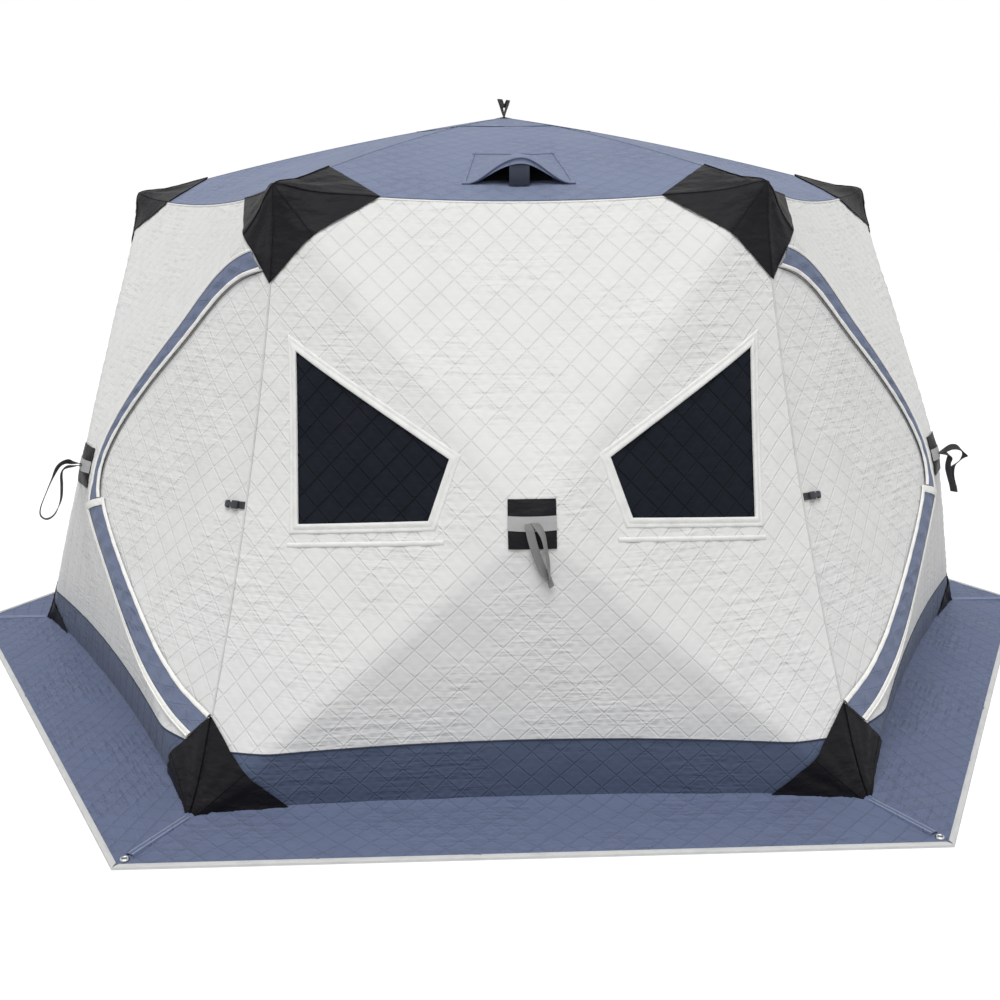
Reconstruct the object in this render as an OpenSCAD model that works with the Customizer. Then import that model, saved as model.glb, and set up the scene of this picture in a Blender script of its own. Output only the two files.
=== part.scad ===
// Six-sided insulated hub shelter for ice fishing: quilted fabric skin stretched
// over six wall hubs and one roof hub, with a snow skirt lying flat all round.
// Millimetres, +Z up, origin on the ground at the centre, front wall facing -Y.

/* [Footprint] */
// Distance from the centre to each corner on the ground
base_r = 1905; // [1600:5:2300]
// How far the middle of each ground edge is pulled in towards the centre
base_pull = 40; // [0:5:80]
// Width of the snow skirt outside the wall
skirt_w = 255; // [150:5:350]
// Thickness of the snow skirt
skirt_t = 4; // [3:1:8]

/* [Roof] */
// Distance from the centre to each eave corner
eave_r = 1430; // [1200:5:1700]
// Height of the eave corners
eave_z = 1735; // [1500:5:2000]
// Height of the roof peak
peak_z = 2035; // [1900:5:2400]
// How far the middle of each eave hangs below its corners
eave_sag = 40; // [0:5:80]
// How far the middle of each eave is pulled in towards the centre
eave_pull = 20; // [0:5:60]

/* [Walls] */
// Distance from the centre to each wall hub
hub_r = 1685; // [1500:5:2000]
// Height of each wall hub
hub_z = 835; // [700:5:1000]
// Thickness of the quilted skin
skin_t = 6; // [4:1:10]
// Height of the blue band at the foot of each wall
band_h = 175; // [100:5:230]
// Thickness of patches, caps and flaps sewn over the skin
overlay_t = 2; // [1.5:0.5:4]

/* [Corner caps] */
// Length of an eave cap along the roof pole
cap_ridge = 265; // [220:5:400]
// Length of an eave cap along the eave
cap_eave = 290; // [200:5:350]
// Length of an eave cap along the wall pole
cap_pole = 180; // [120:5:250]
// Length of an eave cap down the corner seam
cap_seam = 280; // [200:5:330]
// Length of a ground cap up the corner seam
foot_seam = 275; // [200:5:330]
// Length of a ground cap along the wall pole
foot_pole = 200; // [150:5:250]
// Length of a ground cap along the ground
foot_base = 265; // [200:5:330]

/* [Hub patches and straps] */
// Width of the square patch over each wall hub
patch_w = 130; // [100:5:160]
// Width of the pull strap webbing
strap_w = 25; // [20:1:38]
// Thickness of the pull strap webbing
strap_t = 2.5; // [2:0.5:4]
// Hanging length of a wall pull strap
strap_len = 175; // [120:5:250]
// Standing height of the peak pull strap
peak_strap_len = 75; // [50:5:110]

/* [Windows] */
// Outer lower corner of a window: across from the wall's middle, and height
window_outer_low = [652, 800];
// Inner lower corner of a window
window_inner_low = [281, 832];
// Inner upper corner of a window
window_inner_high = [222, 997];
// Outer upper corner of a window
window_outer_high = [665, 1274];
// Thickness of the quilted window cover
cover_t = 4; // [3:0.5:5]

/* [Doors] */
// Distance of the door's lower zip from the wall pole
door_inset_low = 55; // [50:5:90]
// Distance of the door's upper zip from the wall pole
door_inset_high = 110; // [100:5:140]
// Height of the doorway's foot, up the corner seam
door_low = 250; // [220:5:400]
// Distance of the doorway's head below the eave corner, down the corner seam
door_head_drop = 250; // [220:5:400]
// Rounding of the door's corners
door_round = 75; // [50:5:120]
// Gap between the door and its surround, along the zip
zip_gap = 5; // [5:1:8]
// Width of the storm flap over the upper zip
upper_flap_w = 90; // [60:5:90]
// Reach of the storm flap beyond the lower zip
lower_flap_w = 95; // [70:5:120]
// Radius of the piped seam that the door hangs on
piping_r = 3; // [2.5:0.5:5]
// Clearance of the door's edge round the piped seam
piping_gap = 0.3; // [0.2:0.05:0.5]

/* [Roof vent] */
// Width of the vent hood at its mouth
vent_w = 350; // [220:5:400]
// Width of the vent hood where it meets the roof at the back
vent_back_w = 268; // [160:2:320]
// Height of the vent hood's mouth
vent_h = 85; // [60:5:120]
// Length of the vent hood up the slope
vent_len = 350; // [200:5:420]
// Distance from the eave to the vent's mouth, up the slope
vent_up = 123; // [60:1:160]
// Width of the strap that props the hood open
prop_w = 60; // [40:2:80]
// Width of the hole in the roof under the hood
vent_hole_w = 217; // [150:1:260]
// Length of the hole in the roof, up the slope
vent_hole_len = 175; // [120:1:200]
// Distance from the hood's mouth to the hole, up the slope
vent_hole_up = 42; // [20:1:80]

/* [Poles] */
// Diameter of the glass fibre poles
pole_d = 11; // [9:0.5:14]
// Radius of the wall and roof hub bodies
hub_body_r = 34; // [28:1:45]
// Radius of the corner sockets that hold the pole ends
socket_r = 18; // [14:1:24]

/* [Eyelets] */
// Radius of the eyelet holes in the skirt corners
eyelet_r = 6; // [5:0.5:10]
// Distance of the eyelets in from the skirt's corners
eyelet_inset = 45; // [35:5:80]

/* [Hidden] */

SIDES = 6;
HALF = 180 / SIDES;          // half of the angle that one wall spans
LAYER = 0.3;                 // gap between a sewn-on layer and what it lies on
SEAM = 0.15;                 // half of the gap where two panels are sewn together
UP = [0, 0, 1];
BIG = 3000;                  // larger than any part of the shelter
LEFT = -1;
RIGHT = 1;

FABRIC_WHITE = [0.86, 0.86, 0.86];
FABRIC_BLUE = [0.33, 0.40, 0.53];
FABRIC_BLACK = [0.10, 0.10, 0.11];
WEBBING_GREY = [0.38, 0.38, 0.38];

// ---- Small vector helpers ----

function unit(v) = v / norm(v);
function towards(a, b, length) = a + length * unit(b - a);

// ---- Corners of one wall, in a frame where the wall faces -Y ----

function corner_dir(side) = [side * sin(HALF), -cos(HALF), 0];
function corner_along(side) = [-side * cos(HALF), -sin(HALF), 0];  // into the wall
function ground_corner(side) = base_r * corner_dir(side);
function eave_corner(side) = eave_r * corner_dir(side) + eave_z * UP;
hub_point = [0, -hub_r, hub_z];
eave_middle = [0, eave_pull - eave_r * cos(HALF), eave_z - eave_sag];
ground_middle = [0, base_pull - base_r * cos(HALF), 0];
peak_point = [0, 0, peak_z];

// ---- Outward normals of the left half of a wall and its roof panel ----

function facing_out(n) = n[1] > 0 ? -n : n;
function facing_up(n) = n[2] < 0 ? -n : n;
side_normal = facing_out(unit(cross(
    eave_corner(LEFT) - hub_point, ground_corner(LEFT) - hub_point)));
top_normal = facing_out(unit(cross(
    eave_corner(LEFT) - hub_point, eave_middle - hub_point)));
bottom_normal = facing_out(unit(cross(
    ground_corner(LEFT) - hub_point, ground_middle - hub_point)));
roof_normal = facing_up(unit(cross(
    eave_corner(LEFT) - peak_point, eave_middle - peak_point)));

// How far each point moves for a skin that lies 1 mm further out. The mean of the
// normals round a point, kept in the point's own plane of symmetry, sets it.
function growth(n) = n / (n * n);
function in_corner_plane(n) = (n * corner_dir(LEFT)) * corner_dir(LEFT) + n[2] * UP;
function in_middle_plane(n) = [0, n[1], n[2]];
function level(n) = [n[0], n[1], 0];
hub_growth = growth(in_middle_plane((side_normal + top_normal + bottom_normal) / 3));
eave_corner_growth = growth(in_corner_plane((side_normal + top_normal + roof_normal) / 3));
ground_corner_growth = growth(level(in_corner_plane((side_normal + bottom_normal) / 2)));
eave_middle_growth = growth(in_middle_plane((top_normal + roof_normal) / 2));
ground_middle_growth = growth(level(in_middle_plane(bottom_normal)));
peak_growth = growth([0, 0, roof_normal[2]]);

// Points of the skin, grown outwards by d
function on_side(v, side) = [-side * v[0], v[1], v[2]];
function hub_at(d) = hub_point + d * hub_growth;
function eave_at(side, d) = eave_corner(side) + d * on_side(eave_corner_growth, side);
function ground_at(side, d) = ground_corner(side) + d * on_side(ground_corner_growth, side);
function eave_middle_at(d) = eave_middle + d * eave_middle_growth;
function ground_middle_at(d) = ground_middle + d * ground_middle_growth;
function peak_at(d) = peak_point + d * peak_growth;
function over_corner(p) = p - 2 * (p * corner_along(LEFT)) * corner_along(LEFT);

// ---- A sheet between two layers of points ----
// tris and rim list the outer points clockwise as seen from outside.

module sheet(outer, inner, tris, rim) {
    n = len(outer);
    m = len(rim);
    polyhedron(
        points = concat(outer, inner),
        faces = concat(
            tris,
            [for (t = tris) [t[0] + n, t[2] + n, t[1] + n]],
            [for (i = [0:m - 1]) [rim[(i + 1) % m], rim[i], rim[i] + n]],
            [for (i = [0:m - 1]) [rim[(i + 1) % m], rim[i] + n, rim[(i + 1) % m] + n]]
        )
    );
}

// ---- Wall skin: six flat facets round the hub ----

function wall_points(d) = [
    hub_at(d),
    eave_at(LEFT, d) + SEAM * corner_along(LEFT) - 2 * LAYER * UP,
    eave_middle_at(d) - 2 * LAYER * UP,
    eave_at(RIGHT, d) + SEAM * corner_along(RIGHT) - 2 * LAYER * UP,
    ground_at(RIGHT, d) + SEAM * corner_along(RIGHT),
    ground_middle_at(d),
    ground_at(LEFT, d) + SEAM * corner_along(LEFT)
];
WALL_TRIS = [[0, 1, 2], [0, 2, 3], [0, 3, 4], [0, 4, 5], [0, 5, 6], [0, 6, 1]];
WALL_RIM = [1, 2, 3, 4, 5, 6];

module wall_skin(inner_d, outer_d) {
    sheet(wall_points(outer_d), wall_points(inner_d), WALL_TRIS, WALL_RIM);
}

module above_band() {
    translate([-BIG / 2, -BIG, band_h + SEAM]) cube([BIG, BIG, BIG]);
}

module below_band() {
    translate([-BIG / 2, -BIG, -1]) cube([BIG, BIG, band_h - SEAM + 1]);
}

// ---- Windows in the side facets of a wall ----

module window_outline(side, grow) {
    points = [window_outer_low, window_inner_low, window_inner_high, window_outer_high];
    centre = (points[0] + points[1] + points[2] + points[3]) / 4;
    polygon([for (p = points) let (q = p + grow * unit(p - centre)) [side * q[0], q[1]]]);
}

module window_prism(side, grow) {
    rotate([90, 0, 0]) linear_extrude(height = BIG) window_outline(side, grow);
}

module plain_wall() {
    intersection() {
        wall_skin(-skin_t, 0);
        above_band();
    }
}

module window_wall() {
    difference() {
        plain_wall();
        window_prism(LEFT, 0);
        window_prism(RIGHT, 0);
    }
}

// Room for the piped seams that the doors hang on, along both edges of a wall
module seam_room() {
    for (side = [LEFT, RIGHT])
        rotate([0, 0, -90 + side * HALF]) translate([0, -hinge_gap, seam_low_z])
            cube([BIG, 2 * hinge_gap, seam_high_z - seam_low_z]);
}

module window_cover(side) {
    intersection() {
        wall_skin(-skin_t / 2 - cover_t / 2, -skin_t / 2 + cover_t / 2);
        window_prism(side, -2 * LAYER);
    }
}

module base_band() {
    intersection() {
        wall_skin(-skin_t, 0);
        below_band();
    }
}

// ---- Door in the left facet of a wall ----
// The door's own frame: x from the corner seam towards the hub, y up the seam,
// z outwards, origin at the ground corner.

hinge_gap = piping_r + piping_gap;
seam_up = unit(eave_corner(LEFT) - ground_corner(LEFT));
seam_len = norm(eave_corner(LEFT) - ground_corner(LEFT));
to_hub = hub_point - ground_corner(LEFT);
facet_across = unit(to_hub - (to_hub * seam_up) * seam_up);
facet_hub = [to_hub * facet_across, to_hub * seam_up];
facet_eave = [0, seam_len];
facet_ground = [0, 0];

module on_door_facet() {
    multmatrix([
        for (row = [0:2]) [
            facet_across[row], seam_up[row], side_normal[row], ground_corner(LEFT)[row]
        ]
    ]) children();
}

function line_through(p, q, inset) = let (
    dir = unit(q - p),
    inward = [-dir[1], dir[0]]
) [p + inset * inward, dir];
function x_at_y(line, y) = line[0][0] + (y - line[0][1]) * line[1][0] / line[1][1];
function crossing(a, b) = let (
    gap = b[0] - a[0],
    den = a[1][0] * b[1][1] - a[1][1] * b[1][0],
    run = (gap[0] * b[1][1] - gap[1] * b[1][0]) / den
) a[0] + run * a[1];

// Points of an arc of radius r that rounds the corner b between a and c
ARC_STEPS = 8;
function round_corner(a, b, c, r) = let (
    u = unit(a - b),
    w = unit(c - b),
    half_angle = acos(u * w) / 2,
    centre = b + (r / sin(half_angle)) * unit(u + w),
    start = b + (r / tan(half_angle)) * u - centre,
    turn = (u[0] * w[1] - u[1] * w[0] > 0 ? 1 : -1) * (2 * half_angle - 180)
) [for (i = [0:ARC_STEPS]) let (t = turn * i / ARC_STEPS)
    centre + [start[0] * cos(t) - start[1] * sin(t), start[0] * sin(t) + start[1] * cos(t)]];

// Outline of the doorway, grown by grow. It runs beside both wall poles, is cut
// square at head and foot, and steps round the tips of the corner caps.
function door_outline(grow, edge_x) = let (
    low_line = line_through(facet_ground, facet_hub, door_inset_low - grow),
    high_line = line_through(facet_hub, facet_eave, door_inset_high - grow),
    foot_y = door_low - grow,
    head_y = seam_len - door_head_drop + grow,
    foot = [x_at_y(low_line, foot_y), foot_y],
    head = [x_at_y(high_line, head_y), head_y],
    nose = crossing(low_line, high_line),
    inner_foot = [edge_x, foot_y],
    inner_head = [edge_x, head_y],
    r = door_round + grow
) concat(
    [inner_foot],
    round_corner(inner_foot, foot, nose, r),
    round_corner(foot, nose, head, r),
    round_corner(nose, head, inner_head, r),
    [inner_head]
);

module eave_cap_on_facet(grow) {
    tip = facet_eave - [0, cap_seam + grow / sin(HALF)];
    pole_end = towards(facet_eave, facet_hub, cap_pole + grow);
    polygon([tip - [BIG, 0], tip, pole_end + [grow, -grow], pole_end + [BIG, BIG], [-BIG, BIG]]);
}

module ground_cap_on_facet(grow) {
    tip = facet_ground + [0, foot_seam + grow / sin(HALF)];
    pole_end = towards(facet_ground, facet_hub, foot_pole + grow);
    polygon([tip - [BIG, 0], tip, pole_end + [grow, grow], pole_end + [BIG, -BIG], [-BIG, -BIG]]);
}

module door_shape(grow, edge_x) {
    difference() {
        polygon(door_outline(grow, edge_x));
        eave_cap_on_facet(zip_gap - grow);
        ground_cap_on_facet(zip_gap - grow);
    }
}

module doorway_cut() {
    on_door_facet()
        translate([0, 0, -5 * skin_t]) linear_extrude(height = 10 * skin_t)
            door_shape(zip_gap, -10 * skin_t);
}

module door_wall() {
    difference() {
        plain_wall();
        doorway_cut();
    }
}

module door_panel() {
    on_door_facet()
        translate([0, 0, -skin_t]) linear_extrude(height = skin_t)
            door_shape(0, hinge_gap);
}

// Storm flap sewn to the wall above the upper zip
flap_meet_drop = 90;
flap_meet_y = facet_hub[1] - flap_meet_drop;  // height up the seam where the flaps meet
module upper_flap() {
    on_door_facet() translate([0, 0, LAYER]) linear_extrude(height = overlay_t)
        difference() {
            polygon(door_outline(zip_gap + upper_flap_w, hinge_gap));
            polygon(door_outline(zip_gap, -BIG / 2));
            eave_cap_on_facet(LAYER);
            translate([-BIG / 2, flap_meet_y - BIG]) square([BIG, BIG]);
            translate(facet_hub) circle(r = patch_w * sqrt(0.5) + zip_gap, $fn = 64);
            polygon([facet_ground, 2 * facet_hub, [2 * facet_hub[0], 0]]);
        }
}

// Storm flap sewn to the door along the lower zip, standing clear of the wall
flap_seam_w = 14;
flap_web_inset = 2;          // how far the sewn web stays inside the door's edge
flap_lift = zip_gap + LAYER;
module lower_flap_shape(reach) {
    difference() {
        polygon(door_outline(reach, hinge_gap + flap_seam_w));
        polygon(door_outline(-flap_seam_w, -BIG / 2));
        ground_cap_on_facet(zip_gap + overlay_t);
        translate([-BIG / 2, flap_meet_y - zip_gap]) square([BIG, BIG]);
    }
}

module lower_flap() {
    on_door_facet() {
        translate([0, 0, flap_lift]) linear_extrude(height = overlay_t)
            lower_flap_shape(lower_flap_w);
        translate([0, 0, LAYER]) linear_extrude(height = flap_lift - LAYER + overlay_t / 2)
            lower_flap_shape(-flap_web_inset);
    }
}

// Piped seam between the front wall and the door, on the door's turning line
seam_low = foot_seam + piping_r;
seam_high = seam_len - cap_seam - piping_r;
seam_low_z = seam_low * seam_up[2] - piping_r;
seam_high_z = seam_high * seam_up[2] + piping_r;
module hinge_seam() {
    on_door_facet()
        translate([0, seam_low, 0]) rotate([-90, 0, 0])
            cylinder(r = piping_r, h = seam_high - seam_low, $fn = 32);
}

// Side release buckle that holds the rolled door, lying on the door at mid height
buckle = [52, 24, 9];
buckle_drop = 30;            // height of the buckle below the hub
buckle_from_seam = 4;        // gap from the piped seam to the buckle's tape
buckle_tape_len = 14;        // tape that shows before the buckle
buckle_tape_lap = 2;         // tape that runs on into the buckle
buckle_slot_at = 22;         // start of the side slots, along the buckle
buckle_slot_len = 15.6;
buckle_rib_w = 8;            // rib left between the two side slots
module door_buckle() {
    tape_w = strap_w - 4;
    on_door_facet() translate([hinge_gap + buckle_from_seam, facet_hub[1] - buckle_drop, LAYER]) {
        translate([0, -tape_w / 2, 0]) cube([buckle_tape_len + buckle_tape_lap, tape_w, strap_t]);
        difference() {
            translate([buckle_tape_len, -buckle[1] / 2, 0]) cube(buckle);
            for (from = [-buckle[1], buckle_rib_w / 2])
                translate([buckle_tape_len + buckle_slot_at, from, -1])
                    cube([buckle_slot_len, buckle[1] - buckle_rib_w / 2, buckle[2] + 2]);
        }
    }
}

// ---- Roof ----

function roof_points(d) = [
    peak_at(d) + [0, -SEAM / sin(HALF), 0],
    eave_at(LEFT, d) + SEAM * corner_along(LEFT),
    eave_middle_at(d),
    eave_at(RIGHT, d) + SEAM * corner_along(RIGHT)
];
ROOF_TRIS = [[0, 2, 1], [0, 3, 2]];
ROOF_RIM = [0, 3, 2, 1];

module roof_panel() {
    sheet(roof_points(0), roof_points(-skin_t), ROOF_TRIS, ROOF_RIM);
}

// The vent's own frame: x across, y up the slope, z away from the roof, origin at
// the middle of the vent's mouth.
slope_up = unit(peak_point - eave_middle);
vent_origin = eave_middle + vent_up * slope_up;
vent_normal = cross([1, 0, 0], slope_up);

module on_roof() {
    multmatrix([
        for (row = [0:2]) [
            row == 0 ? 1 : 0, slope_up[row], vent_normal[row], vent_origin[row]
        ]
    ]) children();
}

// The roof rises from its middle line towards the corners, by this much per mm
eave_in_vent = eave_corner(RIGHT) - vent_origin;
roof_rise = eave_in_vent * vent_normal / eave_in_vent[0];

VENT_STEPS = 12;
module vent_hole() {
    on_roof() translate([-vent_hole_w / 2, vent_hole_up, -10 * skin_t])
        cube([vent_hole_w, vent_hole_len, 20 * skin_t]);
}

// Soft arch over the roof, which is itself a shallow valley: x goes from -1 to 1
function arch_share(x) = 1 - pow(abs(x), 1.6);
function hood_edge(width, height, y, lift) = [
    for (i = [0:VENT_STEPS]) let (x = 2 * i / VENT_STEPS - 1) [
        x * width / 2,
        y,
        lift + height * arch_share(x) + roof_rise * abs(x) * width / 2
    ]
];
function hood_points(lift) = concat(
    hood_edge(vent_w, vent_h, 0, lift),
    hood_edge(vent_back_w, 0, vent_len, lift)
);

module vent_hood() {
    n = VENT_STEPS + 1;
    on_roof() sheet(
        hood_points(LAYER + overlay_t),
        hood_points(LAYER),
        concat(
            [for (i = [0:n - 2]) [i, n + i, n + i + 1]],
            [for (i = [0:n - 2]) [i, n + i + 1, i + 1]]
        ),
        concat([for (i = [0:n - 1]) n + i], [for (i = [0:n - 1]) n - 1 - i])
    );
}

// Strap that props the hood open, standing on the roof just inside the mouth
module vent_prop() {
    foot_z = LAYER + roof_rise * prop_w / 2;
    on_roof() translate([-prop_w / 2, overlay_t, foot_z])
        cube([prop_w, overlay_t, vent_h * arch_share(prop_w / vent_w) - 2 * LAYER]);
}

// ---- Corner caps ----

function eave_cap_points(d) = let (
    corner = eave_at(LEFT, d),
    edge = towards(corner, eave_middle_at(d), cap_eave),
    pole = towards(corner, hub_at(d), cap_pole)
) [
    corner,
    towards(corner, peak_at(d), cap_ridge),
    edge,
    pole,
    towards(corner, ground_at(LEFT, d), cap_seam),
    over_corner(pole),
    over_corner(edge)
];

module eave_cap() {
    sheet(eave_cap_points(LAYER + overlay_t), eave_cap_points(LAYER), WALL_TRIS, WALL_RIM);
}

function ground_cap_points(d) = let (
    corner = ground_at(LEFT, d),
    base = towards(corner, ground_middle_at(d), foot_base),
    pole = towards(corner, hub_at(d), foot_pole)
) [
    corner,
    towards(corner, eave_at(LEFT, d), foot_seam),
    pole,
    base,
    over_corner(base),
    over_corner(pole)
];

module ground_cap() {
    sheet(
        ground_cap_points(LAYER + overlay_t), ground_cap_points(LAYER),
        [[0, 1, 2], [0, 2, 3], [0, 4, 5], [0, 5, 1]], [1, 2, 3, 0, 4, 5]
    );
}

// ---- Hub patch and pull straps ----

module hub_patch() {
    intersection() {
        wall_skin(LAYER, LAYER + overlay_t);
        translate([-patch_w / 2, -BIG, hub_z - patch_w / 2]) cube([patch_w, BIG, patch_w]);
    }
}

// Closed loop of webbing: a narrow top and a wider bottom, seen from its side
function loop_outline(top_r, bottom_r, length, grow) = let (
    slant = asin((bottom_r - top_r) / length)
) concat(
    [for (i = [0:ARC_STEPS]) let (a = -slant + (180 + 2 * slant) * i / ARC_STEPS)
        [(top_r + grow) * cos(a), (top_r + grow) * sin(a)]],
    [for (i = [0:ARC_STEPS]) let (a = 180 + slant + (180 - 2 * slant) * i / ARC_STEPS)
        [(bottom_r + grow) * cos(a), (bottom_r + grow) * sin(a) - length]]
);

module strap_loop(top_r, bottom_r, length) {
    rotate([90, 0, 90]) translate([0, 0, -strap_w / 2]) linear_extrude(height = strap_w)
        difference() {
            polygon(loop_outline(top_r, bottom_r, length, strap_t / 2));
            polygon(loop_outline(top_r, bottom_r, length, -strap_t / 2));
        }
}

loop_top_r = 9;
loop_bottom_r = 22;
loop_len = strap_len - loop_top_r - loop_bottom_r;
// The loop's back slants towards the wall, which slants away below the hub. Where the
// wall slants away less than the loop's back does, the loop swings out to lie along it.
loop_slant = asin((loop_bottom_r - loop_top_r) / loop_len);
wall_slant = atan2(ground_middle[1] - hub_point[1], hub_z);
loop_swing = max(0, loop_slant - wall_slant);
// The two lower facets meet in a shallow crease, so the loop's edges need this much room
crease_room = strap_w / 2 * abs(bottom_normal[0] / bottom_normal[1]);
module wall_strap() {
    face_y = hub_at(LAYER + overlay_t)[1] - crease_room;
    translate([0, face_y - LAYER - loop_top_r - strap_t / 2, hub_z])
        rotate([-loop_swing, 0, 0]) strap_loop(loop_top_r, loop_bottom_r, loop_len);
}

peak_loop_r = 12;
module peak_strap() {
    translate([0, 0, peak_z + LAYER + loop_top_r + strap_t / 2])
        rotate([180, 0, 90])
            strap_loop(loop_top_r, peak_loop_r, peak_strap_len - loop_top_r - peak_loop_r);
}

// ---- Snow skirt and eyelets ----

skirt_in_d = 2 * LAYER + overlay_t;
skirt_corner_r = base_r + skirt_w / cos(HALF);
eyelet_at = skirt_corner_r - eyelet_inset;
eyelet_lip = 5;
eyelet_wall = 2;
eyelet_rim_t = 1.5;

module skirt_shape() {
    inner = [ground_at(LEFT, skirt_in_d), ground_middle_at(skirt_in_d), ground_at(RIGHT, skirt_in_d)];
    outer = [skirt_corner_r * corner_dir(RIGHT), skirt_corner_r * corner_dir(LEFT)];
    gap = [SEAM * corner_along(LEFT), SEAM * corner_along(RIGHT)];
    polygon([
        for (p = [inner[0] + gap[0], inner[1], inner[2] + gap[1], outer[0] + gap[1], outer[1] + gap[0]])
            [p[0], p[1]]
    ]);
}

module skirt() {
    difference() {
        linear_extrude(height = skirt_t) skirt_shape();
        for (side = [LEFT, RIGHT])
            translate(eyelet_at * corner_dir(side) - UP)
                cylinder(r = eyelet_r + eyelet_wall + LAYER, h = skirt_t + 2, $fn = 48);
    }
}

module eyelet() {
    translate(eyelet_at * corner_dir(LEFT)) difference() {
        union() {
            cylinder(r = eyelet_r + eyelet_wall, h = skirt_t + LAYER + eyelet_rim_t / 2, $fn = 48);
            translate([0, 0, skirt_t + LAYER])
                cylinder(r = eyelet_r + eyelet_lip, h = eyelet_rim_t, $fn = 48);
        }
        translate([0, 0, -1]) cylinder(r = eyelet_r, h = skirt_t + LAYER + eyelet_rim_t + 2, $fn = 48);
    }
}

// ---- Poles, hubs and corner sockets ----

// Depth along dir at which a ball of radius r clears the planes with those normals
function seat_depth(r, dir, normals) = max([for (n = normals) -(r + LAYER) / (n * dir)]);
function normal_of(a, b, c) = facing_out(unit(cross(b - a, c - a)));

inner_hub = hub_at(-skin_t);
inner_eave = eave_at(LEFT, -skin_t);
inner_eave_middle = eave_middle_at(-skin_t);
inner_ground = ground_at(LEFT, -skin_t);
inner_ground_middle = ground_middle_at(-skin_t);
inner_peak = peak_at(-skin_t);
inner_side_normal = normal_of(inner_hub, inner_eave, inner_ground);
inner_top_normal = normal_of(inner_hub, inner_eave, inner_eave_middle);
inner_bottom_normal = normal_of(inner_hub, inner_ground, inner_ground_middle);
inner_roof_normal = facing_up(unit(cross(inner_eave - inner_peak, inner_eave_middle - inner_peak)));

eave_in = -unit(in_corner_plane(inner_top_normal + inner_side_normal + inner_roof_normal));
ground_in = unit(UP - corner_dir(LEFT));
hub_in = [0, 1, 0];
eave_socket = inner_eave + eave_in
    * seat_depth(socket_r, eave_in, [inner_side_normal, inner_top_normal, inner_roof_normal]);
ground_socket = inner_ground + ground_in
    * seat_depth(socket_r, ground_in, [inner_side_normal, inner_bottom_normal, -UP]);
wall_hub_centre = inner_hub + hub_in
    * seat_depth(hub_body_r, hub_in, [inner_side_normal, inner_top_normal, inner_bottom_normal]);
roof_hub_centre = inner_peak - UP * seat_depth(hub_body_r, -UP, [inner_roof_normal]);

module rod(a, b, r, from, to_end) {
    along = unit(b - a);
    length = norm(b - a);
    turn = atan2(along[1], along[0]);
    tilt = acos(along[2]);
    translate(a + from * along) rotate([0, tilt, turn])
        cylinder(r = r, h = length - from - to_end, $fn = 24);
}

module wall_pole(side, end) {
    tip = [side * -end[0], end[1], end[2]];
    rod(wall_hub_centre, tip, pole_d / 2, hub_body_r + LAYER, socket_r + LAYER);
}

module wall_pole_set() {
    for (side = [LEFT, RIGHT], end = [eave_socket, ground_socket]) wall_pole(side, end);
}

module roof_pole() {
    rod(roof_hub_centre, eave_socket, pole_d / 2, hub_body_r + LAYER, socket_r + LAYER);
}

module wall_hub() {
    translate(wall_hub_centre) sphere(r = hub_body_r, $fn = 48);
}

module roof_hub() {
    translate(roof_hub_centre) sphere(r = hub_body_r, $fn = 48);
}

// ---- Placing the sub-parts round the shelter ----

module at_wall(k) {
    rotate([0, 0, k * 2 * HALF]) children();
}

module all_round() {
    for (k = [0:SIDES - 1]) at_wall(k) children();
}

module front_and_back() {
    for (k = [0, SIDES / 2]) at_wall(k) children();
}

module right_door_side() {
    at_wall(1) children();
}

module left_door_side() {
    mirror([1, 0, 0]) at_wall(1) children();
}

module both_door_sides() {
    right_door_side() children();
    left_door_side() children();
}

// ---- Nodes ----

module front_wall() {
    color(FABRIC_WHITE) difference() {
        window_wall();
        seam_room();
    }
}
module back_wall() { color(FABRIC_WHITE) at_wall(3) window_wall(); }
module front_right_wall() { color(FABRIC_WHITE) right_door_side() door_wall(); }
module front_left_wall() { color(FABRIC_WHITE) left_door_side() door_wall(); }
module back_right_wall() { color(FABRIC_WHITE) at_wall(2) plain_wall(); }
module back_left_wall() { color(FABRIC_WHITE) at_wall(4) plain_wall(); }
module eave_corner_caps() { color(FABRIC_BLACK) all_round() eave_cap(); }
module ground_corner_caps() { color(FABRIC_BLACK) all_round() ground_cap(); }
module hub_patches() { color(FABRIC_BLACK) all_round() hub_patch(); }
module window_covers() {
    color(FABRIC_BLACK) front_and_back() {
        window_cover(LEFT);
        window_cover(RIGHT);
    }
}
module right_door_panel() { color(FABRIC_WHITE) right_door_side() door_panel(); }
module left_door_panel() { color(FABRIC_WHITE) left_door_side() door_panel(); }
module right_door_lower_flap() { color(FABRIC_BLUE) right_door_side() lower_flap(); }
module left_door_lower_flap() { color(FABRIC_BLUE) left_door_side() lower_flap(); }
module right_door_buckle() { color(WEBBING_GREY) right_door_side() door_buckle(); }
module left_door_buckle() { color(WEBBING_GREY) left_door_side() door_buckle(); }
module door_upper_flaps() { color(FABRIC_BLUE) both_door_sides() upper_flap(); }
module door_hinge_seams() { color(FABRIC_WHITE) both_door_sides() hinge_seam(); }
module vent_hoods() { color(FABRIC_BLUE) front_and_back() vent_hood(); }
module vent_props() { color(WEBBING_GREY) front_and_back() vent_prop(); }
module wall_pull_straps() { color(WEBBING_GREY) all_round() wall_strap(); }
module peak_pull_strap() { color(WEBBING_GREY) peak_strap(); }
module skirt_eyelets() { color("silver") all_round() eyelet(); }
module wall_poles() { color("black") all_round() wall_pole_set(); }
module roof_poles() { color("black") all_round() roof_pole(); }
module pole_hubs() {
    color("dimgray") {
        all_round() wall_hub();
        roof_hub();
    }
}
module corner_sockets() {
    color("dimgray") all_round() {
        translate(eave_socket) sphere(r = socket_r, $fn = 48);
        translate(ground_socket) sphere(r = socket_r, $fn = 48);
    }
}
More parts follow.
